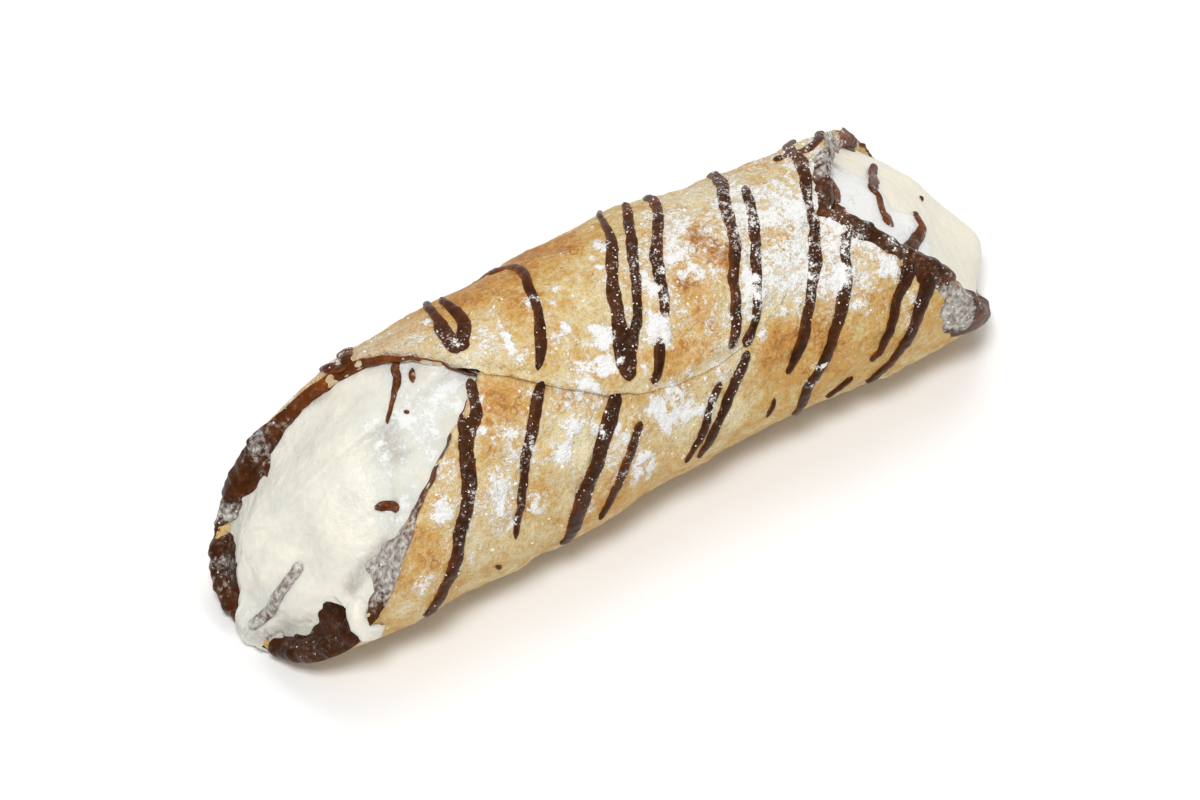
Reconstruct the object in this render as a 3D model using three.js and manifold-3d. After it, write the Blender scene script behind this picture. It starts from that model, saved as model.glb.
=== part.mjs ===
// A cannoli: one oval sheet of fried pastry rolled into a tube, filled with cream from end to end, its two
// mouths coated with chocolate and its outside striped with drizzled chocolate.
//
// The tube lies along X on the floor, its mouths at -X (left) and +X (right), +Z up. Lengths are in
// millimetres. Angles are in degrees round the tube, from the top (+Z) towards the front (-Y). A wrap is an
// angle along the rolled sheet, counted from its keel under the tube: positive on the flap that ends
// outside, negative on the flap tucked under it.

import * as THREE from 'three';
import { mergeVertices } from 'three/addons/utils/BufferGeometryUtils.js';
import Module from 'manifold-3d';

const wasm = await Module();
wasm.setup();

const { degToRad, euclideanModulo, lerp, smoothstep } = THREE.MathUtils;

// ---- Driving dimensions ----

const TUBE_RADIUS = 19.5;
const WALL = 2.5;
const GAP = 0.3; // between two pieces that touch
const AXIS = { x: -1.4, y: 0.8, z: 20 }; // a point on the tube's axis; the floor presses its underside flat

// The sheet's outline: how far its two points reach from the fold line, and how square its corners are.
const FOLD_X = 7;
const KEEL = 187.75;
const ENDS = {
  left: { side: -1, reach: 74.6, roundness: 1.77 },
  right: { side: 1, reach: 61.9, roundness: 1.84 },
};
const FLAPS = {
  outer: { sign: 1, wrap: 231.4, left: 1.17, right: 1.38, rows: 22 },
  inner: { sign: -1, wrap: 202.7, left: 1.51, right: 1.38, rows: 19 },
};
const SHEET_COLUMNS = 31;
// Where the cut edge stands out from that outline or falls short of it.
const TRIMS = {
  left: [
    { wrap: -150, width: 14, by: -1 },
    { wrap: 0, width: 14, by: -1.5 },
    { wrap: 62, width: 26, by: 0.8 },
  ],
  right: [
    { wrap: 112, width: 26, by: -2.6 },
    { wrap: 190, width: 12, by: 3 },
    { wrap: -165, width: 12, by: 3 },
  ],
};
const NOSE = 0.5; // how far the middle of the cut edge stands out
const RAG = 0.45; // unevenness of the cut edge

// The outer flap climbs over the inner one, and is pressed flatter at the right of the seam.
const LIFT = { height: 1.6, from: 110, to: 170, pressed: 0.5, pressedFrom: 12, pressedTo: 28 };

// Slow swellings and dents of the fried tube.
const BULGES = [
  { x: -60, angle: 180, long: 14, round: 50, height: -0.5 },
  { x: -52, angle: -90, long: 16, round: 50, height: -5 },
  { x: -48, angle: 125, long: 14, round: 45, height: 2.8 },
  { x: -15, angle: 125, long: 14, round: 45, height: 2.6 },
  { x: -8, angle: -55, long: 16, round: 45, height: 0.7 },
  { x: 25, angle: 125, long: 13, round: 45, height: 1.2 },
  { x: 42, angle: -55, long: 14, round: 45, height: -2.3 },
  { x: 50, angle: 125, long: 12, round: 45, height: 2.5 },
  { x: 57, angle: -50, long: 8, round: 35, height: -1.5 },
];

// Small blisters raised by the hot oil.
const BLISTERS = { count: 84, from: -62, to: 62, size: [2.2, 4.2], height: [0.35, 1], clear: 3, full: 8 };

// Drizzled strands: waypoints [x, angle] over the front, and one rule for those that run down the back.
const STRAND = { rise: 0.75, sink: 0.75, step: 4, taper: 0.35, foot: 0.5, crown: 0.22 };
const DRIZZLE = [
  { width: 2.2, path: [[-37, -38], [-38, -58], [-41, -84]] },
  { width: 2.6, path: [[-21, -62], [-24, -30], [-26, -7], [-27, 2]] },
  { width: 1.8, path: [[-22, -29], [-21.5, -15], [-25, 3]] },
  { width: 2.6, path: [[-27.5, 26], [-32, 40], [-36.5, 66], [-45.5, 114]] },
  { width: 2.1, path: [[-13, -60], [-9, -22], [-14.5, 17], [-22.5, 52], [-29.5, 90]] },
  { width: 2.6, path: [[9.5, -38], [2, 6], [-5.5, 47], [-14, 79], [-19, 120]] },
  { width: 1.9, path: [[12, -32], [7.5, -6], [-1.5, 33]] },
  { width: 2.2, path: [[13, -70], [18, -44], [12, -6], [3, 37], [-0.5, 53]] },
  { width: 1.9, path: [[-5.5, 66], [-9.5, 86], [-12.5, 104]] },
  { width: 2.3, path: [[24, -68], [29, -38], [24.5, -1], [13, 57]] },
  { width: 2.1, path: [[30, -22], [25, 16], [15.5, 59], [6, 105]] },
  { width: 1.7, path: [[9, 69], [6, 80], [2, 102]] },
  { width: 2.2, path: [[41, -24], [38, 1], [32.5, 37], [21, 87]] },
  { width: 2.4, path: [[39, 36], [37, 52], [29.5, 82], [25.5, 100]] },
  { width: 2.0, path: [[43, 70], [40.5, 79], [37, 104]] },
  { width: 2.4, path: [[48.5, 75], [46, 83], [41.5, 106]] },
];
const BACK_DRIZZLE = { count: 8, first: -44, pitch: 11.5, from: -72, to: -138, lean: 9, width: 2.1 };

// The chocolate on each mouth: a skin over the cut edge that reaches some way into the tube and over its
// outside, given at a few angles and eased between them.
const COATS = {
  left: [
    { angle: -135, inside: 3.2, thick: 0.9, outside: 1 },
    { angle: -98, inside: 5.2, thick: 1.1, outside: 0.8 },
    { angle: -50, inside: 3, thick: 0.8, outside: 0.8 },
    { angle: 10, inside: 1.6, thick: 0.5, outside: 0.6 },
    { angle: 70, inside: 2, thick: 0.5, outside: 0.6 },
    { angle: 132, inside: 8.5, thick: 2, outside: 0 },
    { angle: 178, inside: 4, thick: 0.9, outside: 0 },
  ],
  right: [
    { angle: -140, inside: 5, thick: 0.9, outside: 0 },
    { angle: -75, inside: 8, thick: 1.1, outside: 0.8 },
    { angle: -20, inside: 9, thick: 1.2, outside: 1.6 },
    { angle: 22, inside: 2.5, thick: 0.8, outside: 1.4 },
    { angle: 66, inside: 2.5, thick: 0.9, outside: 3 },
    { angle: 100, inside: 3, thick: 0.9, outside: 7 },
    { angle: 150, inside: 4, thick: 0.9, outside: 0 },
  ],
};
const COAT = { steps: 40, nose: 0.6, outsideThick: 0.5 };

// The cream's two faces: how far they stand back from the cut edge and bulge at the middle, with lumps, and
// with bits and strands of chocolate lying on them. Places are across (to the front) and up from the axis.
const CREAM = { columns: 38, rings: 8, sideRows: 15, margin: 0.45 };
const RIDGE = { rise: 0.7, sink: 0.6, step: 2.2 };
const CREAM_FACES = {
  left: {
    setBack: 1.2,
    bulge: 3.5,
    lumps: [
      { across: 2, up: 4, size: 7, height: 2.6 },
      { across: 6, up: -8, size: 5, height: 1.8 },
      { across: -3, up: -6, size: 4, height: 1.2 },
      { across: -8, up: 9, size: 4, height: -1.2 },
      { across: 9, up: 11, size: 4, height: -1.2 },
    ],
    ridges: [
      { width: 1.7, path: [[9.5, 7.2], [12.4, 7.8]] },
      { width: 1.7, path: [[8, -1.5], [6.6, -6], [4.4, -13.5]] },
      { width: 1.8, path: [[-2.8, 14.6], [0, 14.4], [2.5, 12.5]] },
    ],
  },
  right: {
    setBack: 0.6,
    bulge: 5.6,
    lumps: [
      { across: 3, up: -3, size: 7, height: 2.2 },
      { across: 5, up: -10, size: 5, height: 3.6 },
      { across: -5, up: 6, size: 5, height: -1.5 },
    ],
    ridges: [
      { width: 2, path: [[-4.8, 6.2], [1.9, 10], [4.8, 9.8], [8.4, 9.4]] },
      { width: 1.8, path: [[3.4, 5.2], [7.2, 5.8], [10.2, 6.4], [12.4, 7.6]] },
    ],
  },
};

// ---- The rolled sheet ----

const MM_PER_DEGREE = degToRad(TUBE_RADIUS);

// An angle brought into -180 to 180.
const turn = (angle) => euclideanModulo(angle + 180, 360) - 180;

const bell = (distance, width) => Math.exp(-((distance / width) ** 2) / 2);

// A point at a place along the tube, an angle round it and a distance from its axis, never under the floor.
function at(x, angle, radius) {
  const a = degToRad(angle);
  const z = Math.max(AXIS.z + radius * Math.cos(a), 0);
  return new THREE.Vector3(AXIS.x + x, AXIS.y - radius * Math.sin(a), z);
}

function tubeRadius(x, angle) {
  const swell = (b) => b.height * bell(x - b.x, b.long) * bell(turn(angle - b.angle), b.round);
  return BULGES.reduce((radius, b) => radius + swell(b), TUBE_RADIUS);
}

function lift(x, wrap) {
  const climb = THREE.MathUtils.clamp((wrap - LIFT.from) / (LIFT.to - LIFT.from), 0, 1);
  return LIFT.height * climb * (1 - LIFT.pressed * smoothstep(x, LIFT.pressedFrom, LIFT.pressedTo));
}

// Evenly strewn numbers between 0 and 1, the same each time.
const strewn = (n, stride) => euclideanModulo(0.5 + n * stride, 1);

const blisters = Array.from({ length: BLISTERS.count }, (_, n) => ({
  x: lerp(BLISTERS.from, BLISTERS.to, strewn(n, 0.7549)),
  angle: 360 * strewn(n, 0.5698),
  size: lerp(...BLISTERS.size, strewn(n, 0.3247)),
  height: lerp(...BLISTERS.height, strewn(n, 0.4142)),
}));

// Where the sheet's edge lies at a wrap, at one end of the tube.
function edgeX(endName, wrap) {
  const end = ENDS[endName];
  const flap = wrap < 0 ? FLAPS.inner : FLAPS.outer;
  const share = Math.min(Math.abs(wrap) / flap.wrap, 1);
  const reach = end.reach * (1 - share ** flap[endName]) ** (1 / end.roundness);
  const rag = RAG * (Math.sin(degToRad(wrap * 5.3)) + 0.4 * Math.sin(degToRad(wrap * 11.7 + 40)));
  const trims = TRIMS[endName].reduce((sum, t) => sum + t.by * bell(wrap - t.wrap, t.width), 0);
  return FOLD_X + end.side * (reach + (rag + trims) * Math.min(reach / 12, 1));
}

// How far a flap wraps at a place along the tube.
function wrapReach(flap, x) {
  const endName = x < FOLD_X ? 'left' : 'right';
  const share = Math.min(Math.abs(x - FOLD_X) / ENDS[endName].reach, 1);
  return flap.wrap * (1 - share ** ENDS[endName].roundness) ** (1 / flap[endName]);
}

const outerWrap = (angle) => euclideanModulo(angle - KEEL, 360);

// Where the mouth's cut edge lies at an angle, on whichever flap reaches further.
function mouthX(endName, angle) {
  const wrap = outerWrap(angle);
  const edges = [edgeX(endName, wrap), edgeX(endName, wrap - 360)];
  return ENDS[endName].side < 0 ? Math.min(...edges) : Math.max(...edges);
}

// How far the blisters stand up, fading out towards the mouths.
function relief(x, angle) {
  const dome = (b) => b.height * bell(x - b.x, b.size) * bell(turn(angle - b.angle) * MM_PER_DEGREE, b.size);
  const fromMouth = Math.min(x - mouthX('left', angle), mouthX('right', angle) - x);
  const fade = smoothstep(fromMouth, BLISTERS.clear, BLISTERS.full);
  return fade * blisters.reduce((height, b) => height + dome(b), 0);
}

// The outermost surface of the pastry, on whichever flap lies on top.
function outerFace(x, angle) {
  const wrap = outerWrap(angle);
  const outerOnTop = wrap < FLAPS.outer.wrap && x >= edgeX('left', wrap) && x <= edgeX('right', wrap);
  return tubeRadius(x, angle) + relief(x, angle) + (outerOnTop ? lift(x, wrap) : 0);
}

// The innermost surface of the pastry: the inner flap's where it reaches, else the outer flap's.
function innerFace(x, angle) {
  const wrap = outerWrap(angle);
  const innerEdge = 360 - wrapReach(FLAPS.inner, x);
  const clear = 1 - smoothstep(wrap, innerEdge - 16, innerEdge - 6);
  return tubeRadius(x, angle) - WALL + lift(x, wrap) * clear;
}

// ---- Solids ----

// Skins a run of closed sections, each with the same even number of points.
function loft(sections, closesOnItself = false) {
  const count = sections[0].length;
  const index = [];
  const quad = (a, b, c, d) => index.push(a, b, c, a, c, d);
  const steps = closesOnItself ? sections.length : sections.length - 1;
  for (let step = 0; step < steps; step++) {
    const here = step * count;
    const next = ((step + 1) % sections.length) * count;
    for (let k = 0; k < count; k++) {
      const after = (k + 1) % count;
      quad(here + k, here + after, next + after, next + k);
    }
  }
  const last = (sections.length - 1) * count;
  for (let k = 0; !closesOnItself && k < count / 2 - 1; k++) {
    const across = count - 1 - k;
    quad(k + 1, k, across, across - 1);
    quad(last + k + 1, last + across - 1, last + across, last + k);
  }
  const geometry = new THREE.BufferGeometry();
  geometry.setFromPoints(sections.flat());
  geometry.setIndex(index);
  return solidOf(geometry);
}

function solidOf(geometry) {
  const bare = geometry.clone();
  bare.deleteAttribute('normal');
  bare.deleteAttribute('uv');
  const welded = mergeVertices(bare, 1e-4);
  const vertProperties = welded.attributes.position.array;
  const triVerts = new Uint32Array(welded.index.array);
  return new wasm.Manifold(new wasm.Mesh({ numProp: 3, vertProperties, triVerts }));
}

function geometryOf(solid) {
  const { vertProperties, triVerts } = solid.getMesh();
  const geometry = new THREE.BufferGeometry();
  geometry.setAttribute('position', new THREE.BufferAttribute(vertProperties, 3));
  geometry.setIndex(new THREE.BufferAttribute(triVerts, 1));
  geometry.computeVertexNormals();
  return geometry;
}

const range = (count) => Array.from({ length: count }, (_, n) => n);

// One half of the sheet, from the keel to the point of its flap.
function flapSolid(flap) {
  const sections = range(flap.rows + 1).map((row) => {
    const share = Math.min(1 - (1 - row / flap.rows) ** 1.35, 0.998);
    const wrap = flap.sign * flap.wrap * share;
    const from = edgeX('left', wrap);
    const to = edgeX('right', wrap);
    const angle = KEEL + wrap;
    const point = (x, depth, bumps) => at(x, angle, tubeRadius(x, angle) + lift(x, wrap) + bumps - depth);
    const columns = range(SHEET_COLUMNS + 1).map((n) => lerp(from, to, n / SHEET_COLUMNS));
    const outside = columns.map((x) => point(x, 0, relief(x, angle)));
    const inside = columns.map((x) => point(x, WALL, 0)).reverse();
    const nose = Math.min(NOSE, (to - from) / 8);
    const noses = [point(to + nose, WALL / 2, 0), point(from - nose, WALL / 2, 0)];
    return [...outside, noses[0], ...inside, noses[1]];
  });
  return loft(flap.sign > 0 ? sections.reverse() : sections);
}

// A strand of chocolate that hugs the pastry along a path of [x, angle] points.
function strandSolid({ width, path }) {
  const waypoints = path.map(([x, angle]) => new THREE.Vector3(x, angle * MM_PER_DEGREE, 0));
  const flat = new THREE.CatmullRomCurve3(waypoints);
  const steps = Math.max(Math.round(flat.getLength() / STRAND.step), 2);
  const sections = range(steps + 1).map((n) => {
    const here = flat.getPointAt(n / steps);
    const along = flat.getTangentAt(n / steps);
    const end = n === 0 || n === steps ? STRAND.taper : 1;
    const swell = end * (1 + 0.16 * Math.sin(n * 2.4 + width * 9));
    const point = (side, height) => {
      const x = here.x - along.y * side * width * swell;
      const angle = (here.y + along.x * side * width * swell) / MM_PER_DEGREE;
      return at(x, angle, outerFace(x, angle) + height);
    };
    return [
      point(-STRAND.foot, -STRAND.sink),
      point(-STRAND.crown, STRAND.rise * swell),
      point(STRAND.crown, STRAND.rise * swell),
      point(STRAND.foot, -STRAND.sink),
    ];
  });
  return loft(sections);
}

function backStrands() {
  return range(BACK_DRIZZLE.count).map((n) => {
    const x = BACK_DRIZZLE.first + n * BACK_DRIZZLE.pitch + 3 * strewn(n, 0.618);
    const to = BACK_DRIZZLE.to + 34 * strewn(n, 0.4142);
    const middle = lerp(BACK_DRIZZLE.from, to, 0.5);
    const lean = BACK_DRIZZLE.lean * (0.5 + strewn(n, 0.7549));
    const path = [[x, BACK_DRIZZLE.from], [x - lean * 0.35, middle], [x - lean, to]];
    return { width: BACK_DRIZZLE.width * (0.8 + 0.4 * strewn(n, 0.3247)), path };
  });
}

function pastry() {
  const strands = [...DRIZZLE, ...backStrands()].map(strandSolid);
  const pieces = [flapSolid(FLAPS.inner), ...strands];
  return pieces.reduce((whole, piece) => whole.add(piece), flapSolid(FLAPS.outer));
}

// ---- Chocolate on the mouths ----

// A coat's sizes at an angle, eased between the two angles that are given on each side of it.
function coatAt(endName, angle) {
  const stops = COATS[endName];
  const past = stops.findIndex((stop) => stop.angle > turn(angle));
  const after = stops[past < 0 ? 0 : past];
  const before = stops[(past <= 0 ? stops.length : past) - 1];
  const span = euclideanModulo(after.angle - before.angle, 360);
  const ease = smoothstep(euclideanModulo(turn(angle) - before.angle, 360), 0, span);
  const mixed = (key) => lerp(before[key], after[key], ease);
  return { inside: mixed('inside'), thick: mixed('thick'), outside: mixed('outside') };
}

function coatSolid(endName) {
  const { side } = ENDS[endName];
  const sections = range(COAT.steps).map((n) => {
    const angle = KEEL + (360 * n) / COAT.steps;
    const { inside, thick, outside } = coatAt(endName, angle);
    const edge = mouthX(endName, angle) + side * NOSE;
    const hugs = Math.min(outside / COAT.outsideThick, 1);
    // The wall's two faces at a depth behind the edge; in front of it they are carried on.
    const wallX = (depth) => edge - side * Math.max(depth, NOSE + 0.2);
    const within = (depth) => innerFace(wallX(depth), angle) - GAP;
    const without = (depth) => lerp(within(depth) + WALL / 2, outerFace(wallX(depth), angle) + GAP, hugs);
    const point = (depth, radius) => at(edge - side * depth, angle, radius);
    const leg = lerp(-GAP - 0.25, outside, hugs);
    const tip = -GAP - COAT.nose;
    return [
      point(inside, within(inside)),
      point(inside * 0.9, within(inside * 0.9) - thick * 0.6),
      point(inside * 0.4, within(inside * 0.4) - thick),
      point(tip, (within(0) + without(0) - thick) / 2),
      point(lerp(tip, leg, 0.4), without(0) + COAT.outsideThick * hugs),
      point(leg, without(leg) + 0.1),
      point(-GAP, without(0)),
      point(-GAP, within(0)),
    ];
  });
  return loft(side > 0 ? sections : sections.reverse(), true);
}

// ---- Cream ----

// Where a face of the cream lies at a share of the way out from the tube's axis, at an angle. It spans the
// cut edge like a ruler laid across the mouth, then bulges.
function creamX(endName, share, angle) {
  const { side } = ENDS[endName];
  const face = CREAM_FACES[endName];
  const fromKeel = degToRad(angle - KEEL);
  const down = THREE.MathUtils.clamp(share * Math.cos(fromKeel), -1, 1);
  const halfChord = Math.sqrt(Math.max(1 - down * down, 1e-6));
  const across = THREE.MathUtils.clamp((share * Math.sin(fromKeel)) / halfChord, -1, 1);
  const reach = THREE.MathUtils.radToDeg(Math.acos(down));
  const ruled = lerp(mouthX(endName, KEEL - reach), mouthX(endName, KEEL + reach), (across + 1) / 2);
  const radius = share * (TUBE_RADIUS - WALL);
  const place = { across: radius * Math.sin(degToRad(angle)), up: radius * Math.cos(degToRad(angle)) };
  const lump = (l) => l.height * bell(Math.hypot(place.across - l.across, place.up - l.up), l.size);
  const swell = face.bulge * (1 - share * share) + face.lumps.reduce((sum, l) => sum + lump(l), 0);
  return ruled + side * (swell * (1 - share ** 6) - face.setBack);
}

// The free radius inside the pastry, also for a place in front of the mouth.
function bore(x, angle) {
  const inTube = THREE.MathUtils.clamp(x, mouthX('left', angle) + 1, mouthX('right', angle) - 1);
  return innerFace(inTube, angle) - CREAM.margin;
}

// What is left of the bore beside the chocolate on a mouth.
const throat = (endName, x, angle) => bore(x, angle) + CREAM.margin - coatAt(endName, angle).thick - 2 * GAP;

// A ridge of chocolate along a path of [across, up] points on a face of the cream.
function ridgeSolid(endName, { width, path }) {
  const { side } = ENDS[endName];
  const flat = new THREE.CatmullRomCurve3(path.map(([across, up]) => new THREE.Vector3(across, up, 0)));
  const steps = Math.max(Math.round(flat.getLength() / RIDGE.step), 2);
  const sections = range(steps + 1).map((n) => {
    const here = flat.getPointAt(n / steps);
    const along = flat.getTangentAt(n / steps);
    const point = (off, height) => {
      const across = here.x - along.y * off * width;
      const up = here.y + along.x * off * width;
      const angle = THREE.MathUtils.radToDeg(Math.atan2(across, up));
      const share = Math.hypot(across, up) / (TUBE_RADIUS - WALL);
      const x = creamX(endName, share, angle);
      return at(x + side * height, angle, share * throat(endName, x, angle));
    };
    return [
      point(-0.5, -RIDGE.sink),
      point(-0.3, RIDGE.rise),
      point(0.3, RIDGE.rise),
      point(0.5, -RIDGE.sink),
    ];
  });
  return loft(side > 0 ? sections : sections.reverse());
}

function creamSolid() {
  const loop = (xAt, radiusAt) =>
    range(CREAM.columns).map((n) => {
      const angle = KEEL + (360 * n) / CREAM.columns;
      const x = xAt(angle);
      return at(x, angle, radiusAt(x, angle));
    });
  const rings = range(CREAM.rings).map((n) => (n + 1) / CREAM.rings);
  // From the middle of a face out to its rim, then back past the chocolate and out to the pastry.
  const end = (endName) => {
    const { side } = ENDS[endName];
    const beside = (x, angle) => throat(endName, x, angle);
    const ring = (share) => loop((angle) => creamX(endName, share, angle), (x, angle) => share * beside(x, angle));
    const pastCoat = (extra) => (angle) => {
      const depth = coatAt(endName, angle).inside + extra;
      return mouthX(endName, angle) - side * depth;
    };
    return [...rings.map(ring), loop(pastCoat(0.8), beside), loop(pastCoat(1.8), bore)];
  };
  const between = range(CREAM.sideRows - 1).map((n) => {
    const share = (n + 1) / CREAM.sideRows;
    const from = (angle) => mouthX('left', angle) + coatAt('left', angle).inside + 1.8;
    const to = (angle) => mouthX('right', angle) - coatAt('right', angle).inside - 1.8;
    return loop((angle) => lerp(from(angle), to(angle), share), bore);
  });
  const filling = loft([...end('left'), ...between, ...end('right').reverse()]);
  const onFace = (endName) => CREAM_FACES[endName].ridges.map((ridge) => ridgeSolid(endName, ridge));
  const ridges = [...onFace('left'), ...onFace('right')];
  return ridges.reduce((whole, ridge) => whole.add(ridge), filling);
}

// ---- The cannoli ----

const finishes = {
  shell: new THREE.MeshStandardMaterial({ color: 0xd9a45c, roughness: 0.75, metalness: 0 }),
  cream: new THREE.MeshStandardMaterial({ color: 0xf1ecdd, roughness: 0.45, metalness: 0 }),
  chocolate_left: new THREE.MeshStandardMaterial({ color: 0x3d1f14, roughness: 0.3, metalness: 0 }),
  chocolate_right: new THREE.MeshStandardMaterial({ color: 0x3d1f14, roughness: 0.3, metalness: 0 }),
};

const solids = {
  shell: pastry(),
  cream: creamSolid(),
  chocolate_left: coatSolid('left'),
  chocolate_right: coatSolid('right'),
};

const cannoli = new THREE.Group();
cannoli.name = 'cannoli';
for (const [name, solid] of Object.entries(solids)) {
  const mesh = new THREE.Mesh(geometryOf(solid), finishes[name]);
  mesh.name = name;
  cannoli.add(mesh);
}

export default cannoli;
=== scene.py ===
import math

import bpy
import numpy as np
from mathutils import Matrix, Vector


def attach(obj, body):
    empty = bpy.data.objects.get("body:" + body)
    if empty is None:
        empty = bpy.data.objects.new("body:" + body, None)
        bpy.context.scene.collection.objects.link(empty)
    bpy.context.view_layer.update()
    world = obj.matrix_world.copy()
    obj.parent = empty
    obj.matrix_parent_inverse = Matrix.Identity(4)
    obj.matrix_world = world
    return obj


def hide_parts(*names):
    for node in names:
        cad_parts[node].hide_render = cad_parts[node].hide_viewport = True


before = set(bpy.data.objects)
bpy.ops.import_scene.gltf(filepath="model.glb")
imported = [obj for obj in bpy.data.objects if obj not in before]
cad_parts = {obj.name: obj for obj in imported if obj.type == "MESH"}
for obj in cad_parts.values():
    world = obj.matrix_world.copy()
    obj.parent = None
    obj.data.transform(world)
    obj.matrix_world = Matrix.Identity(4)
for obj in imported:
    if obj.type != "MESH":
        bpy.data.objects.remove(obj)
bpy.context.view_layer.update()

mm = 0.001  # sizes below are millimetres and degrees, and meshes are written in metres


# Smooth numbers and noise

def bell(distance, width):
    return np.exp(-((distance / width) ** 2) / 2)


def turned(angle):
    return (angle + 180) % 360 - 180


def eased(value, low, high):
    share = np.clip((value - low) / (high - low), 0, 1)
    return share * share * (3 - 2 * share)


def latticeNoise(places, seed):
    cell = np.floor(places).astype(np.int64)
    inCell = places - cell
    inCell = inCell * inCell * inCell * (inCell * (inCell * 6 - 15) + 10)
    total = np.zeros(places.shape[:-1])
    for corner in np.ndindex(2, 2, 2):
        c = cell + np.array(corner)
        key = (c[..., 0] * 374761393 + c[..., 1] * 668265263 + c[..., 2] * 982451653 + seed * 1274126177) & 0xFFFFFFFF
        key = ((key ^ (key >> 13)) * 1274126177) & 0xFFFFFFFF
        key = key ^ (key >> 16)
        weight = np.prod(np.where(np.array(corner) == 1, inCell, 1 - inCell), axis=-1)
        total += weight * (key / 0x7FFFFFFF - 1)
    return total


def lumpy(places, size, seed, octaves=3):  # -1 to 1, with features about size across
    total, strength, reach = 0.0, 1.0, 0.0
    for octave in range(octaves):
        total = total + strength * latticeNoise(places / size * 2**octave, seed + octave)
        reach += strength
        strength *= 0.5
    return total / reach * 1.6


# The rolled sheet: x along the tube, angle from the top towards the front, wrap along the sheet from its keel

sheet = {
    "radius": 19.5,
    "wall": 2.5,
    "axis": np.array([-1.4, 0.8, 20.0]),
    "foldX": 7.0,
    "keel": 187.75,
    "nose": 0.55,
    "columns": 256,
    "rows": 300,
    "insideEvery": 4,  # the hidden inside is this many times coarser
    "lift": {"height": 1.6, "low": 110, "high": 170, "pressed": 0.68, "pressedFrom": 12, "pressedTo": 28,
             "feather": 0.8, "featherFrom": 2.4, "cracked": -10.5, "crackedLong": 4},
    "gap": 0.06,  # between the outer flap and the one under it
}
left, right = -1, 1
ends = {
    left: {"reach": 74.6, "round": 1.77, "trims": [(-150, 14, -1), (0, 14, -1.5), (62, 26, 0.8), (153, 14, -3)]},
    right: {"reach": 61.9, "round": 1.84, "trims": [(112, 26, -2.6), (190, 12, 3), (-165, 12, 3)]},
}
flaps = {
    1: {"wrap": 231.4, left: 1.17, right: 1.38},
    -1: {"wrap": 202.7, left: 1.51, right: 1.38},
}
bulges = [  # x, angle, length along, degrees round, height
    (-60, 180, 14, 50, -0.5), (-52, -90, 16, 50, -5), (-48, 125, 14, 45, 2.8), (-15, 125, 14, 45, 2.6),
    (-8, -55, 16, 45, 0.7), (25, 125, 13, 45, 1.2), (42, -55, 14, 45, -2.3), (50, 125, 12, 45, 2.5),
    (57, -50, 8, 35, -1.5), (-13, -58, 8, 24, -1.2), (27, -58, 14, 22, -0.5), (-36, -58, 6, 22, 0.8),
    (-47, -70, 7, 20, 0.6), (56, 112, 5, 14, 0.6),
]
blisters = {"count": 84, "x": (-62, 62), "size": (2.2, 4.2), "height": (0.35, 1.0)}
mmPerDegree = math.radians(sheet["radius"])
stride = {"along": 0.7549, "round": 0.5698, "size": 0.3247, "depth": 0.4142, "jitter": 0.618}  # for strewn things


def at(x, angle, radius):
    a = np.radians(angle)
    ax, ay, az = sheet["axis"]
    return np.stack(np.broadcast_arrays(ax + x, ay - radius * np.sin(a), np.maximum(az + radius * np.cos(a), 0)), -1)


def outwardAt(angle):
    a = np.radians(angle)
    return np.stack([0 * a, -np.sin(a), np.cos(a)], -1)


def unrolled(points):  # x and angle of points in millimetres
    off = points - sheet["axis"]
    return off[..., 0], np.degrees(np.arctan2(-off[..., 1], off[..., 2]))


def strewn(n, kind):  # evenly spread shares from 0 to 1
    return (0.5 + n * stride[kind]) % 1


def ranged(limits, share):
    return limits[0] + (limits[1] - limits[0]) * share


def tubeRadius(x, angle):
    swell = sum(h * bell(x - bx, long) * bell(turned(angle - ba), wide) for bx, ba, long, wide, h in bulges)
    return sheet["radius"] + swell


def lift(x, wrap):
    size = sheet["lift"]
    climb = np.clip((wrap - size["low"]) / (size["high"] - size["low"]), 0, 1)
    # The outer tip was rolled out thin towards its edge, and stands clear of the roll in one place only.
    toEdge = (wrapReach(1, x) - wrap) * mmPerDegree
    clear = bell(x - size["cracked"], size["crackedLong"])
    feather = size["feather"] * (1 - clear) * (1 - eased(toEdge, 0, size["featherFrom"]))
    pressed = size["pressed"] * eased(x, size["pressedFrom"], size["pressedTo"])
    return size["height"] * climb * (1 - pressed) * (1 - feather)


def edgeX(side, wrap, ragged=1.0):
    end = ends[side]
    inner = wrap < 0
    share = np.minimum(np.abs(wrap) / np.where(inner, flaps[-1]["wrap"], flaps[1]["wrap"]), 1)
    reach = end["reach"] * (1 - share ** np.where(inner, flaps[-1][side], flaps[1][side])) ** (1 / end["round"])
    rag = 0.45 * (np.sin(np.radians(wrap * 5.3)) + 0.4 * np.sin(np.radians(wrap * 11.7 + 40)))
    rag = rag + 0.12 * np.sin(np.radians(wrap * 37)) + 0.09 * np.sin(np.radians(wrap * 61 + 70))
    rag = rag * ragged
    trims = sum(by * bell(wrap - place, width) for place, width, by in end["trims"])
    return sheet["foldX"] + side * (reach + (rag + trims) * np.minimum(reach / 12, 1))


def wrapReach(flap, x):
    side = np.where(x < sheet["foldX"], left, right)
    reach = np.where(side == left, ends[left]["reach"], ends[right]["reach"])
    roundness = np.where(side == left, ends[left]["round"], ends[right]["round"])
    power = np.where(side == left, flaps[flap][left], flaps[flap][right])
    share = np.minimum(np.abs(x - sheet["foldX"]) / reach, 1)
    return flaps[flap]["wrap"] * (1 - share**roundness) ** (1 / power)


def outerWrap(angle):
    return (angle - sheet["keel"]) % 360


def mouthX(side, angle, ragged=1.0):
    wrap = outerWrap(angle)
    both = (edgeX(side, wrap, ragged), edgeX(side, wrap - 360, ragged))
    return np.minimum(*both) if side == left else np.maximum(*both)


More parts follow.
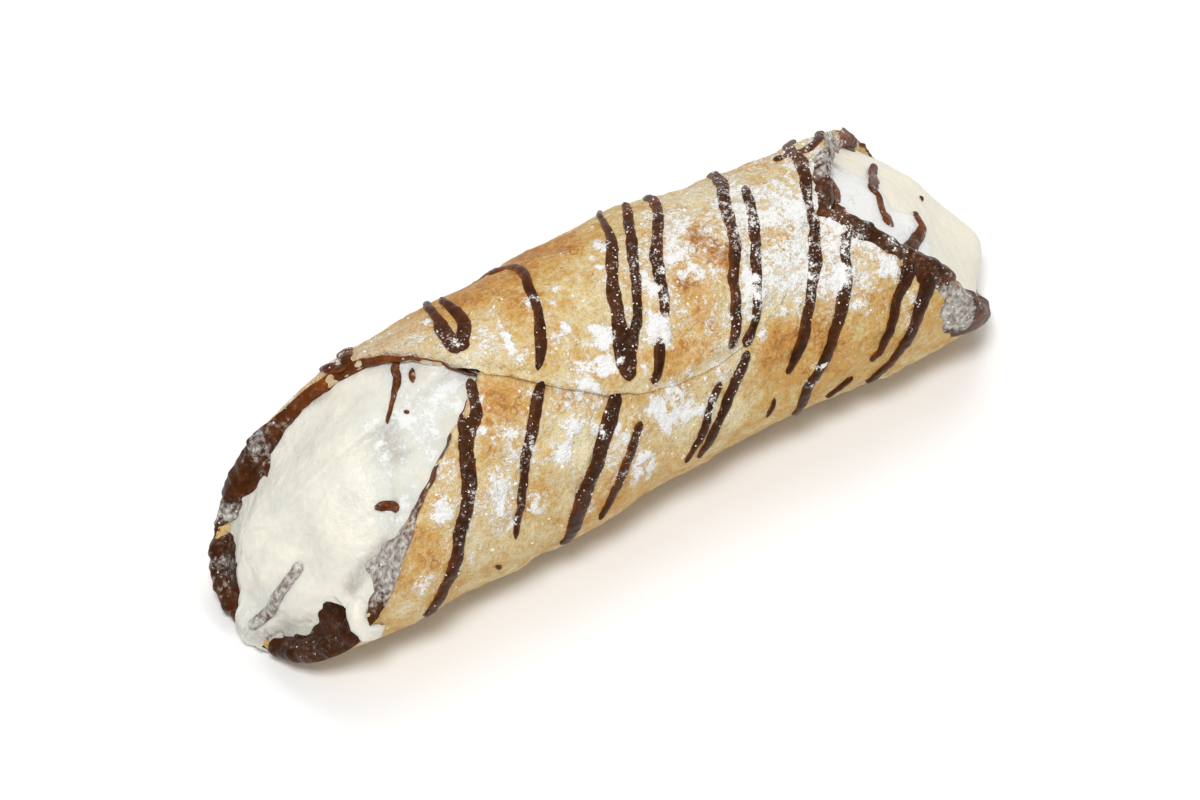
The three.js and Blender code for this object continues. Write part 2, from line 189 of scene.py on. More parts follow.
def fromAxis(points):
    return np.hypot(points[:, 1] - sheet["axis"][1], points[:, 2] - sheet["axis"][2])


def fromMouths(x, angle):
    return np.minimum(x - mouthX(left, angle), mouthX(right, angle) - x)


def blisterHeight(x, angle):
    total = np.zeros(np.broadcast(x, angle).shape)
    for n in range(blisters["count"]):
        bx = ranged(blisters["x"], strewn(n, "along"))
        size = ranged(blisters["size"], strewn(n, "size"))
        height = ranged(blisters["height"], strewn(n, "depth"))
        near = np.abs(x - bx) < 4 * size
        if near.any():
            across = bell(turned(angle - 360 * strewn(n, "round")) * mmPerDegree, size)
            total += np.where(near, height * bell(x - bx, size) * across, 0)
    return total


# Where the fried crust stands up in rings and folds: x, angle, radius across, ring width, height
crustRings = [
    (11.5, 91, 2.6, 0.55, 0.35), (17.5, 9, 2.4, 0.7, 0.4), (-18, 64, 3.2, 0.7, 0.3), (21, 61, 3.0, 0.8, 0.35),
    (32, 12, 1.9, 0.5, 0.35), (-30, 70, 3.0, 0.6, 0.3), (-8, -12, 3.2, 0.8, 0.3), (3.5, 46, 3.8, 0.8, 0.35),
    (-24, 26, 2.6, 0.7, 0.3), (38, 84, 2.4, 0.6, 0.25), (-4, 88, 2.4, 0.6, 0.3), (-40, 84, 2.2, 0.6, 0.25),
    (30, 85, 3.4, 0.8, 0.25), (-2, -30, 3.6, 0.8, 0.3), (20, -28, 3.0, 0.7, 0.3), (35, -32, 2.6, 0.7, 0.3),
]
crustFolds = [  # waypoints along each fold, and its height
    ([(8.5, 16), (9.5, 24), (12, 31), (15.5, 34)], 0.5),
    ([(16, 4), (17.2, 14), (17.4, 22)], 0.45),
    ([(22, 20), (26, 24), (29, 22)], 0.35),
    ([(-14, -24), (-8, -30), (0, -26)], 0.35),
    ([(-33, 72), (-27, 77), (-24, 84)], 0.3),
    ([(-14, 8), (-11, 2), (-6, 0)], 0.3),
    ([(20, 60), (19, 68), (21, 76)], 0.35),
    ([(-21, 26), (-14, 38), (-6, 44)], 0.3),
]
foldWidth = 0.75


def toPath(x, angle, waypoints):  # distance from a polyline over the unrolled sheet, in millimetres
    nearest = np.full(np.broadcast(x, angle).shape, 1e3)
    for (x0, a0), (x1, a1) in zip(waypoints, waypoints[1:]):
        dx, ds = x1 - x0, (a1 - a0) * mmPerDegree
        px, ps = x - x0, turned(angle - a0) * mmPerDegree
        share = np.clip((px * dx + ps * ds) / (dx * dx + ds * ds), 0, 1)
        nearest = np.minimum(nearest, np.hypot(px - share * dx, ps - share * ds))
    return nearest


def crustHeight(x, angle):  # all the low relief of the fried surface, fading at the mouths
    x, angle = np.broadcast_arrays(x, angle)
    flat = at(x, angle, sheet["radius"])
    warp = 0.9 * lumpy(flat, 4, 11, 2)
    height = blisterHeight(x, angle)
    for rx, ra, across, width, up in crustRings:
        off = np.hypot(x - rx, turned(angle - ra) * mmPerDegree) + warp
        height = height + up * bell(off - across, width)
    for waypoints, up in crustFolds:
        height = height + up * bell(toPath(x, angle, waypoints) + warp * 0.4, foldWidth)
    crackled = 1 - 2 * np.abs(lumpy(flat, 2.6, 31, 2))
    height = height + 0.16 * lumpy(flat, 5, 21, 2) + 0.1 * crackled + 0.05 * lumpy(flat, 1.1, 41, 1)
    return height * eased(fromMouths(x, angle), 1.5, 7)


def outerFace(x, angle):  # the pastry's outermost surface, whichever flap lies on top
    wrap = outerWrap(angle)
    onTop = (wrap < flaps[1]["wrap"]) & (x >= edgeX(left, wrap)) & (x <= edgeX(right, wrap))
    return tubeRadius(x, angle) + crustHeight(x, angle) + np.where(onTop, lift(x, wrap), 0)


def innerFace(x, angle):
    wrap = outerWrap(angle)
    innerEdge = 360 - wrapReach(-1, x)
    clear = 1 - eased(wrap, innerEdge - 16, innerEdge - 6)
    return tubeRadius(x, angle) - sheet["wall"] + lift(x, wrap) * clear


# Powdered sugar: clumps at x, angle, half length along and round, and thickness

sugarClumps = [
    (-19.5, 11, 0.9, 3.4, 1.0), (-22, 4, 2.0, 1.5, 0.7), (-10.6, 16, 1.3, 1.2, 1.0), (-9.3, 2, 1.3, 1.0, 0.8),
    (-13, -1, 1.3, 1.8, 0.9), (-6.3, 26, 2.6, 1.5, 1.1), (-8.2, 37, 2.6, 1.5, 1.1), (-11.3, 36, 1.3, 0.8, 0.8),
    (0.4, -3, 0.9, 1.6, 0.9), (3.4, -12, 1.2, 1.6, 0.9), (-2.6, -20, 1.1, 0.8, 0.6), (5, 18, 1.0, 3.5, 0.9),
    (-31, 38, 0.9, 1.6, 0.8), (-20, 35, 1.0, 1.4, 0.9), (-12.8, 43, 3.0, 1.8, 0.75), (-16, 54, 2.4, 1.6, 0.85),
    (-19.4, 62, 1.7, 2.2, 0.95), (-30.8, 67, 3.2, 3.4, 0.78), (-34.6, 61, 1.6, 1.7, 0.8),
    (-39.6, 60, 2.4, 2.2, 0.8), (-38, 90, 1.8, 1.6, 0.7), (-30.5, 84, 0.7, 1.1, 0.8), (-24.8, 79, 1.8, 1.3, 0.8),
    (-12.6, 60, 1.1, 1.6, 0.8), (-6, 89, 2.8, 2.5, 0.9), (-16, 96, 1.2, 1.4, 0.8), (-10.5, 84, 1.2, 1.0, 0.8),
    (0, 64, 4.0, 1.9, 0.9), (1.5, 73, 3.6, 2.2, 1.1), (6.4, 76, 2.0, 1.4, 0.9), (2.4, 34, 2.2, 2.1, 1.15),
    (-2.4, 46, 0.9, 1.4, 0.7), (12.5, 12, 3.2, 4.6, 0.75), (15.6, -5, 3.4, 2.6, 0.8), (8, 10, 1.2, 2.4, 0.7),
    (19.4, 31, 2.2, 1.9, 1.15), (18.2, 45, 2.2, 1.0, 1.0), (22, 51, 1.6, 0.7, 0.8), (23.4, -8, 1.1, 1.5, 0.9),
    (24.2, 24, 1.1, 1.2, 0.8), (31.6, 11, 3.3, 3.2, 0.95), (33, -1, 3.0, 2.0, 0.7), (34, 50, 2.2, 2.3, 1.2),
    (29.4, 45, 1.1, 1.3, 0.9), (37.4, 30, 1.7, 2.8, 1.05), (42.4, 55, 1.5, 2.0, 1.1), (36, 66, 2.2, 1.1, 0.7),
    (42.8, 82, 0.9, 1.3, 0.9), (44.8, 74, 1.0, 1.1, 0.7), (27.2, 85, 0.9, 0.8, 1.0), (25.4, 93, 1.1, 0.9, 1.0),
    (38.6, 10, 1.6, 2.4, 0.9), (25.5, 1, 1.1, 1.8, 0.8), (28, -14, 1.4, 2.2, 0.7), (-26.2, 1, 0.6, 0.5, 1.3),
    (-30.4, 40, 0.8, 0.6, 1.0), (-26, -18, 0.8, 1.6, 0.8), (11, 40, 1.5, 2.5, 0.6), (38.5, -12, 1.3, 2.5, 0.7),
    (48.5, -46, 2.2, 1.6, 0.9), (-23.5, 52, 0.8, 0.9, 0.9), (15, 22, 1.6, 2.2, 0.7), (41, 42, 0.9, 1.2, 0.6),
    (-39, -42, 1.4, 1.2, 0.8), (19.6, 39, 1.8, 1.4, 1.0), (18, 57, 1.2, 1.0, 0.7), (-28, 44, 0.8, 1.0, 0.7),
    (-8.8, 68, 1.3, 1.9, 0.8), (-27.1, 27, 0.9, 0.9, 0.9), (-25.4, 45, 0.9, 0.9, 0.8), (-40, 79, 1.2, 1.0, 0.8),
    (-46, 90, 3.0, 2.2, 0.6),
]
behindSugar = {"count": 46, "x": (-50, 48), "angle": (-48, -110), "size": (1, 2.2), "amount": (0.45, 0.5)}
for n in range(behindSugar["count"]):  # behind, clumps are strewn by rule
    size = behindSugar["size"][0] + behindSugar["size"][1] * strewn(n, "size") ** 2
    amount = behindSugar["amount"][0] + behindSugar["amount"][1] * strewn(n, "depth")
    px, pa = ranged(behindSugar["x"], strewn(n, "along")), ranged(behindSugar["angle"], strewn(n, "round"))
    sugarClumps.append((px, pa, size, size * 0.8, amount))
sugarVeils = [  # broad light dustings, and bare places where negative
    (13, 8, 17, 13, 0.14), (33, 24, 11, 14, 0.12), (-2, 66, 14, 7, 0.16), (-30, 64, 14, 12, 0.12),
    (24, 40, 20, 9, 0.1), (-12, -20, 11, 7, -0.2), (-15, 8, 5, 4, -0.05), (28, 88, 15, 8, -0.12),
    (44, 100, 14, 8, -0.1), (-15, 62, 3, 2.5, -0.3), (21, 64, 2.6, 4, -0.3), (3.5, 46, 4, 2.5, -0.15),
    (-24, 26, 3.4, 3, -0.2), (0, -34, 12, 5, -0.1), (-46, 97, 10, 7, 0.2), (34, -22, 16, 8, 0.1),
    (8, 178, 90, 26, -0.5), (-27, 50, 7, 6, 0.12), (-20, 94, 8, 5, 0.12), (-9, 76, 7, 5, 0.1), (37, 46, 9, 9, 0.16),
    (22, 60, 6, 6, 0.08), (20, -9, 4, 3, -0.12), (-33, -14, 7, 9, 0.12), (-20, 4, 7, 5, 0.1), (-32, -32, 7, 7, 0.06),
]


def sugarDepth(x, angle):
    x, angle = np.broadcast_arrays(x, angle)
    flat = at(x, angle, sheet["radius"])
    wx = x + 0.9 * lumpy(flat, 2.2, 51, 2)
    wa = angle + 0.9 / mmPerDegree * lumpy(flat, 2.2, 61, 2)
    broken = 0.8 + 0.35 * lumpy(flat, 1.3, 65, 2)
    depth = 0.3 * eased(np.cos(np.radians(angle - 25)), -0.6, 0.5)  # shaken on from above and a little in front
    depth = depth + 0.1 * lumpy(flat, 8, 71, 2) + 0.13 * lumpy(flat, 2.8, 74, 2)
    depth = depth - 0.18 * np.clip(toasted(x, angle), 0, 1)
    for px, pa, long, wide, amount in sugarVeils:
        depth = depth + amount * bell(x - px, long) * bell(turned(angle - pa) * mmPerDegree, wide)
    for px, pa, long, wide, amount in sugarClumps:
        off = ((wx - px) / long) ** 2 + (turned(wa - pa) * mmPerDegree / wide) ** 2
        depth = np.maximum(depth, amount * broken * np.exp(-0.45 * off**1.8))
    return np.clip(depth, 0, 1.2)


toastPlaces = [  # where the frying browned the crust (positive) or left it pale
    (-15, 5, 4, 4, 0.45), (-8, 44, 3, 1.6, 0.5), (6, 48, 4.4, 2.0, 0.8), (16.2, 10, 1.6, 3.0, 0.8),
    (18.6, 19, 2.0, 2.6, 1.0), (10.5, 27, 1.6, 3.2, 0.9), (21.4, 60, 2.2, 3.6, 0.5), (27, 22, 2.6, 2.4, 0.7),
    (-24.4, 28, 3.4, 3.4, 0.7), (-14, -17, 5, 3.4, 0.35), (-45.5, 74, 2.6, 3.4, 0.5), (-28, 76, 4, 3, 0.15),
    (-22, 74, 3, 5, 0.2), (29.5, 62, 1.8, 4, 0.5), (10, -4, 1, 3, 0.4), (33.5, -14, 3, 3, 0.5),
    (30, 84, 16, 6, 0.2), (17, 4, 1.6, 2.4, 0.5), (18.6, 69, 3, 2.2, 0.5), (-12, 29, 2.6, 2.2, 0.5),
    (-15, 47, 1.6, 2, 0.4), (1, -24, 5, 3, 0.35), (-3, -34, 12, 4.6, 0.55), (-22, -40, 10, 6, 0.4),
    (-42, -30, 8, 9, 0.3), (-16.6, 62, 3.6, 3.2, -0.9), (-9, 18, 5, 4, -0.3), (-20, 12, 3, 4, -0.35),
    (-36, 84, 3, 3, -0.4), (-22, 92, 4, 3, -0.3), (4, 84, 4.4, 3.2, -0.5), (12, 91, 2, 2, -0.7),
    (28, 6, 8, 6, -0.3), (14, 66, 2.4, 3, -0.5), (24, 42, 3, 2.4, -0.5), (-2, 8, 6, 5, -0.15),
    (8, -28, 6, 5, -0.35), (24, -26, 5, 5, -0.4), (-27, 10, 4, 3, -0.5), (42, 66, 2.6, 3, 0.3),
    (52, -32, 6, 8, -0.4), (-12, 92, 4, 4, 0.35),
]
seam = {"middle": 5, "half": 34}  # where along the tube the outer lip shows


def toasted(x, angle):
    return sum(amount * bell(x - px, long) * bell(turned(angle - pa) * mmPerDegree, wide)
               for px, pa, long, wide, amount in toastPlaces)


def toastWithSeamShade(x, angle, wrap):
    flat = at(x, angle, sheet["radius"])
    toastAndSeamShade = toasted(x, angle) + 0.25 * lumpy(flat, 7, 81, 3) + 0.14 * lumpy(flat, 2.4, 91, 2)
    # The outer lip of the seam stayed pale, and on the sheet under it the crust is painted browner as shade in the
    # crevice under the lip.
    fromSeam = np.abs(np.abs(wrap) - np.where(wrap > 0, wrapReach(1, x), 360 - wrapReach(1, x))) * mmPerDegree
    nearSeam = np.abs(x - seam["middle"]) < seam["half"]
    toastAndSeamShade = toastAndSeamShade + np.where(wrap > 0, -0.5 * bell(fromSeam, 1.4), 0.4 * bell(fromSeam, 0.5)) * nearSeam
    return np.clip(toastAndSeamShade, -1, 1)


# Mesh making

def meshObject(name, points, faces, material):
    mesh = bpy.data.meshes.new(name)
    mesh.from_pydata((np.asarray(points) * mm).tolist(), [], faces)
    mesh.materials.append(material)
    mesh.validate()
    mesh.polygons.foreach_set("use_smooth", [True] * len(mesh.polygons))
    made = bpy.data.objects.new(name, mesh)
    bpy.context.scene.collection.objects.link(made)
    return made


def pointsOf(mesh):
    points = np.empty(len(mesh.vertices) * 3)
    mesh.vertices.foreach_get("co", points)
    return points.reshape(-1, 3) / mm


def setField(mesh, name, values):
    field = mesh.attributes.get(name) or mesh.attributes.new(name, "FLOAT", "POINT")
    field.data.foreach_set("value", np.asarray(values, float))


def fieldOf(mesh, name):
    values = np.empty(len(mesh.vertices))
    mesh.attributes[name].data.foreach_get("value", values)
    return values


def setUv(mesh, cornerUv):
    uv = mesh.uv_layers.new(name="OFBake")
    uv.data.foreach_set("uv", np.asarray(cornerUv, float).ravel())


def quadsOf(index):  # the faces of a grid of points
    return np.stack([index[:-1, :-1], index[:-1, 1:], index[1:, 1:], index[1:, :-1]], -1).reshape(-1, 4)


cornerSteps = ((0, 0), (0, 1), (1, 1), (1, 0))  # the corners of such a face, in rows and columns


def ringQuads(ring, after):  # the faces between closed rings of points
    return np.stack([ring, np.roll(ring, -1, axis=-1), np.roll(after, -1, axis=-1), after], -1).reshape(-1, 4)


def bridged(coarse, fine):  # faces between two rows of points, one with several times the steps of the other
    every = (len(fine) - 1) // (len(coarse) - 1)
    return [[coarse[j + 1]] + fine[j * every : (j + 1) * every + 1][::-1] + [coarse[j]]
            for j in range(len(coarse) - 1)]


# Shader making

def hexColour(text):
    parts = [int(text[i : i + 2], 16) / 255 for i in (1, 3, 5)]
    return [c / 12.92 if c <= 0.04045 else ((c + 0.055) / 1.055) ** 2.4 for c in parts] + [1.0]


def addNode(tree, kind, inputs=(), stops=(), **settings):  # inputs in order or by name, and a ramp's colours
    made = tree.nodes.new(kind)
    for name, value in settings.items():
        setattr(made, name, value)
    while len(stops) > len(made.color_ramp.elements if stops else stops):
        made.color_ramp.elements.new(0.5)
    for (place, colour), element in zip(stops, made.color_ramp.elements if stops else stops):
        element.position = place
        element.color = hexColour(colour)
    for socket, value in inputs.items() if isinstance(inputs, dict) else enumerate(inputs):
        if isinstance(value, bpy.types.NodeSocket):
            tree.links.new(value, made.inputs[socket])
        else:
            made.inputs[socket].default_value = value
    return made


def newMaterial(name):
    material = bpy.data.materials.new(name)
    material.use_nodes = True
    material.node_tree.nodes.clear()
    return material, material.node_tree


def noiseBetween(tree, places, scale, low=0.3, high=0.7, detail=3.0):  # noise stretched to 0 to 1
    noise = addNode(tree, "ShaderNodeTexNoise", {
        "Vector": places, "Scale": scale, "Detail": detail, "Roughness": 0.6})
    return addNode(tree, "ShaderNodeMapRange", (noise.outputs["Fac"], low, high)).outputs[0]


def addUp(tree, terms, start=0.0):  # sum of value times weight
    total = start
    for value, weight in terms:
        total = addNode(tree, "ShaderNodeMath", (value, weight, total), operation="MULTIPLY_ADD").outputs[0]
    return total


def layered(tree, colour, layers):  # colours laid one over another, each with its share
    for share, over in layers:
        colour = addNode(tree, "ShaderNodeMix", {0: share, 6: colour, 7: over}, data_type="RGBA").outputs[2]
    return colour


# Sugar lies where its depth beats a noise of clumps and grains, so heaps have lacy edges and stray grains,
# and a thinner veil of it reaches further.
def sugarMask(tree, places, amount=1.0, start=0.0, bare=()):
    field = addNode(tree, "ShaderNodeAttribute", attribute_name="sugar").outputs["Fac"]
    clumps = noiseBetween(tree, places, 560.0)
    lace = noiseBetween(tree, places, 1350.0)
    grains = noiseBetween(tree, places, 3300.0, 0.25, 0.75, 2.0)
    over = addUp(tree, [(field, amount), (clumps, 0.3), (lace, 0.42), (grains, 0.42), *bare], start - 0.53)
    heaps = addNode(tree, "ShaderNodeMapRange", (over, 0.4, 0.72), interpolation_type="SMOOTHSTEP")
    veil = addNode(tree, "ShaderNodeMapRange", (over, 0.04, 0.6), interpolation_type="SMOOTHSTEP")
    return heaps.outputs[0], veil.outputs[0]


# Fried dough: golden wheat crust, blistered in hot oil. It looks matte to faintly oily, mottled from cream to
# amber, with browner pin specks, under drifts of icing sugar and, by the left mouth, a set sugary glaze.
def friedPastry():
    material, tree = newMaterial("friedPastry")
    places = addNode(tree, "ShaderNodeTexCoord").outputs["Object"]
    # the toast field also holds painted shade: browner crust in the crevice under the seam's lip
    toastAndSeamShade = addNode(tree, "ShaderNodeAttribute", attribute_name="toastAndSeamShade").outputs["Fac"]
    glazed = addNode(tree, "ShaderNodeAttribute", attribute_name="glaze").outputs["Fac"]
    broad = noiseBetween(tree, places, 300.0, 0.3, 0.7, 5.0)
    mottle = noiseBetween(tree, places, 950.0, 0.3, 0.7, 4.0)
    crumb = noiseBetween(tree, places, 2800.0, 0.25, 0.75, 2.0)
    heat = addUp(tree, [(broad, 0.34), (mottle, 0.3), (crumb, 0.24), (toastAndSeamShade, 0.42)], 0.02)
    crust = addNode(tree, "ShaderNodeValToRGB", {0: heat}, [
        (0.12, "#e8dab2"), (0.34, "#dac187"), (0.52, "#d1a75a"), (0.72, "#cc9444"), (0.94, "#ab6e2e")])
    pins = noiseBetween(tree, places, 2200.0, 0.5, 0.72)
    specks = addNode(tree, "ShaderNodeMapRange", (pins, 0.2, 1.0, 0.0, 0.6), interpolation_type="SMOOTHSTEP")
    # Small burst bubbles leave browned rings, which shed the sugar.
    wobble = addNode(tree, "ShaderNodeTexNoise", {"Vector": places, "Scale": 900.0}).outputs["Color"]
    shifted = addNode(tree, "ShaderNodeVectorMath", (wobble, [0.9 * mm] * 3, places), operation="MULTIPLY_ADD")
    bubble = addNode(tree, "ShaderNodeTexVoronoi", {"Vector": shifted.outputs[0], "Scale": 560.0}).outputs["Distance"]
    outer = addNode(tree, "ShaderNodeMapRange", (bubble, 0.2, 0.34), interpolation_type="SMOOTHSTEP").outputs[0]
    inner = addNode(tree, "ShaderNodeMapRange", (bubble, 0.36, 0.5), interpolation_type="SMOOTHSTEP").outputs[0]
    ring = addNode(tree, "ShaderNodeMath", (outer, inner), operation="SUBTRACT").outputs[0]
    baked = addUp(tree, [(broad, 0.7), (toastAndSeamShade, 0.5)])
    baked = addNode(tree, "ShaderNodeMapRange", (baked, 0.4, 0.75), interpolation_type="SMOOTHSTEP").outputs[0]
    rings = addNode(tree, "ShaderNodeMath", (ring, baked), operation="MULTIPLY").outputs[0]
    sugarGlaze = addNode(tree, "ShaderNodeValToRGB", {0: mottle}, [(0.2, "#bd9f76"), (0.8, "#ded0b4")])
    heaps, veil = sugarMask(tree, places, bare=[(rings, -0.3)])
    colour = layered(tree, crust.outputs[0], [
        (specks.outputs[0], hexColour("#9c6630")),
        (addUp(tree, [(rings, 0.5)]), hexColour("#a2642a")),
        (addUp(tree, [(glazed, 0.75)]), sugarGlaze.outputs[0]),
        (addUp(tree, [(veil, 0.5)]), hexColour("#e6d8b8")),
        (heaps, hexColour("#f2f1ee")),
    ])
    grain = addUp(tree, [(broad, 0.9), (mottle, 0.6), (crumb, 0.25)])
    bump = addNode(tree, "ShaderNodeBump", {"Strength": 0.9, "Distance": 0.55 * mm, "Height": grain})
    heaped = addNode(tree, "ShaderNodeBump", {
        "Strength": 0.7, "Distance": 0.12 * mm, "Height": heaps, "Normal": bump.outputs[0]})
    shader = addNode(tree, "ShaderNodeBsdfPrincipled", {
        "Base Color": colour, "Roughness": addUp(tree, [(veil, 0.3), (glazed, -0.2)], 0.52), "IOR": 1.45,
        "Normal": heaped.outputs[0],
        "Subsurface Weight": 0.06, "Subsurface Radius": (1.0, 0.75, 0.5), "Subsurface Scale": 0.8 * mm})
    addNode(tree, "ShaderNodeOutputMaterial", {0: shader.outputs[0]})
    return material


# Dark chocolate glaze: cocoa butter sets to a smooth, glossy skin, redder where it is thin. Sugar that lands on it
# while wet melts to a grey lavender haze, and later grains stay white.
def chocolateGlaze(name, dusting, haze):
    material, tree = newMaterial(name)
    places = addNode(tree, "ShaderNodeTexCoord").outputs["Object"]
    thin = addNode(tree, "ShaderNodeAttribute", attribute_name="thin").outputs["Fac"]
    melted = addNode(tree, "ShaderNodeAttribute", attribute_name="melted").outputs["Fac"]
    cloud = noiseBetween(tree, places, 330.0)
    fine = noiseBetween(tree, places, 1200.0)
    cocoa = addNode(tree, "ShaderNodeValToRGB", {0: addUp(tree, [(cloud, 0.26), (fine, 0.14), (thin, 1.0)])}, [
        (0.05, "#2c1608"), (0.34, "#46240e"), (0.62, "#6b3511"), (0.95, "#96521d")])
    heaps, veil = sugarMask(tree, places, dusting, -0.03)
    bloom = addUp(tree, [(melted, 1.2), (fine, 0.5), (cloud, 0.25)], -0.6)
    bloom = addNode(tree, "ShaderNodeMapRange", (bloom, 0.0, 0.6), interpolation_type="SMOOTHSTEP").outputs[0]
    lavender = addNode(tree, "ShaderNodeValToRGB", {0: fine}, [
        (0.15, "#80746c"), (0.5, "#a59f98"), (0.85, "#cbc8c1")])
    colour = layered(tree, cocoa.outputs[0], [
        (addUp(tree, [(veil, haze), (bloom, 0.9)]), lavender.outputs[0]),
        (heaps, hexColour("#f1eee8")),
    ])
    ripple = addUp(tree, [(fine, 0.6), (cloud, 0.6)])
    bump = addNode(tree, "ShaderNodeBump", {"Strength": 0.5, "Distance": 0.2 * mm, "Height": ripple})
    heaped = addNode(tree, "ShaderNodeBump", {
        "Strength": 0.7, "Distance": 0.12 * mm, "Height": heaps, "Normal": bump.outputs[0]})
    shader = addNode(tree, "ShaderNodeBsdfPrincipled", {
        "Base Color": colour, "Roughness": addUp(tree, [(veil, 0.3), (heaps, 0.35), (fine, 0.1)], 0.3), "IOR": 1.46,
        "Normal": heaped.outputs[0],
        "Specular IOR Level": 0.2, "Specular Tint": hexColour("#d8a884")})
    addNode(tree, "ShaderNodeOutputMaterial", {0: shader.outputs[0]})
    return material


# Sweet ricotta and whipped cream: fat and water scatter light inside it, so it is ivory, soft-edged and faintly wet.
# Where cocoa bled into it, it is stained grey, and the same grey is painted as shade along its furrow and creases.
def creamFinish():
    material, tree = newMaterial("whippedCream")
    places = addNode(tree, "ShaderNodeTexCoord").outputs["Object"]
    rich = addNode(tree, "ShaderNodeAttribute", attribute_name="rich").outputs["Fac"]
    stainAndShade = addNode(tree, "ShaderNodeAttribute", attribute_name="stainAndShade").outputs["Fac"]
    cloud = noiseBetween(tree, places, 200.0, 0.3, 0.7, 4.0)
    fine = noiseBetween(tree, places, 900.0)
    body = addNode(tree, "ShaderNodeValToRGB", {0: addUp(tree, [(cloud, 0.22), (fine, 0.08), (rich, 1.0)])}, [
        (0.0, "#c6cac4"), (0.3, "#d6d5c8"), (0.6, "#ebe7d8"), (1.0, "#f2ead3")])
    # grey of bled cocoa, together with painted shade in the furrow and creases
    bledAndShaded = addUp(tree, [(stainAndShade, 1.3), (fine, 0.4), (cloud, 0.3)], -0.45)
    bledAndShaded = addNode(tree, "ShaderNodeMapRange", (bledAndShaded, 0.05, 0.8), interpolation_type="SMOOTHSTEP").outputs[0]
    cocoa = addNode(tree, "ShaderNodeValToRGB", {0: fine}, [(0.15, "#81736a"), (0.85, "#c5c1b8")])
    heaps, veil = sugarMask(tree, places)
    colour = layered(tree, body.outputs[0], [
        (bledAndShaded, cocoa.outputs[0]),
        (addUp(tree, [(veil, 0.45)]), hexColour("#dddeda")),
        (addUp(tree, [(heaps, 0.8)]), hexColour("#ecedeb")),
    ])
    ripple = addUp(tree, [(fine, 0.6), (cloud, 1.0)])
    bump = addNode(tree, "ShaderNodeBump", {"Strength": 0.5, "Distance": 0.3 * mm, "Height": ripple})
    heaped = addNode(tree, "ShaderNodeBump", {
        "Strength": 0.6, "Distance": 0.12 * mm, "Height": heaps, "Normal": bump.outputs[0]})
    shader = addNode(tree, "ShaderNodeBsdfPrincipled", {
        "Base Color": colour, "Roughness": addUp(tree, [(veil, 0.25), (fine, 0.12)], 0.3), "IOR": 1.4,
        "Normal": heaped.outputs[0],
        "Subsurface Weight": 0.4, "Subsurface Radius": (1.0, 0.85, 0.6), "Subsurface Scale": 1.6 * mm})
    addNode(tree, "ShaderNodeOutputMaterial", {0: shader.outputs[0]})
    return material


# Icing sugar: milled grains clump together and scatter nearly all light, so it is a bright, dull white.
def icingSugar():
    material, tree = newMaterial("icingSugar")
    places = addNode(tree, "ShaderNodeTexCoord").outputs["Object"]
    cloud = addNode(tree, "ShaderNodeTexNoise", {"Vector": places, "Scale": 900.0, "Detail": 2.0}).outputs["Fac"]
    white = addNode(tree, "ShaderNodeValToRGB", {0: cloud}, [(0.25, "#efebe2"), (0.7, "#fbfaf7")])
    grain = addNode(tree, "ShaderNodeTexNoise", {"Vector": places, "Scale": 4000.0, "Detail": 2.0}).outputs["Fac"]
    bump = addNode(tree, "ShaderNodeBump", {"Strength": 0.4, "Distance": 0.1 * mm, "Height": grain})
    shader = addNode(tree, "ShaderNodeBsdfPrincipled", {
        "Base Color": white.outputs[0], "Roughness": 0.95, "IOR": 1.5, "Normal": bump.outputs[0],
        "Subsurface Weight": 0.3, "Subsurface Radius": (1.0, 1.0, 1.0), "Subsurface Scale": 0.4 * mm})
    addNode(tree, "ShaderNodeOutputMaterial", {0: shader.outputs[0]})
    return material


finishes = {
    "pastry": friedPastry(),
    "drizzle": chocolateGlaze("drizzledChocolate", 0.7, 0.06),
    "rim": chocolateGlaze("dippedChocolate", 0.9, 0.16),
    "cream": creamFinish(),
    "sugar": icingSugar(),
}


# The pastry: one sheet from the tip tucked inside to the tip that ends outside, with a rounded cut edge

def sheetThickness(x, wrap):  # the outer flap thins to lie on the inner one without cutting it
    underEdge = 360 - wrapReach(-1, x)
    lying = eased(wrap, underEdge - 18, underEdge - 6)
    return sheet["wall"] + (lift(x, wrap) - sheet["gap"] - sheet["wall"]) * lying


def sheetPoint(x, wrap, depth):  # depth from 0 at the outside to 1 at the inside
    angle = sheet["keel"] + wrap
    covered = eased(wrapReach(1, x) - (360 + wrap), -5, 1) * (wrap < 0)
    relief = crustHeight(x, angle) * (1 - covered) + 0.2 * eased(sugarDepth(x, angle), 0.3, 1.1) * (1 - covered)
    thickness = sheetThickness(x, wrap)
    outside = tubeRadius(x, angle) + lift(x, wrap) + np.maximum(relief, 0.1 - thickness) * (1 - depth)
    return at(x, angle, outside - depth * thickness)


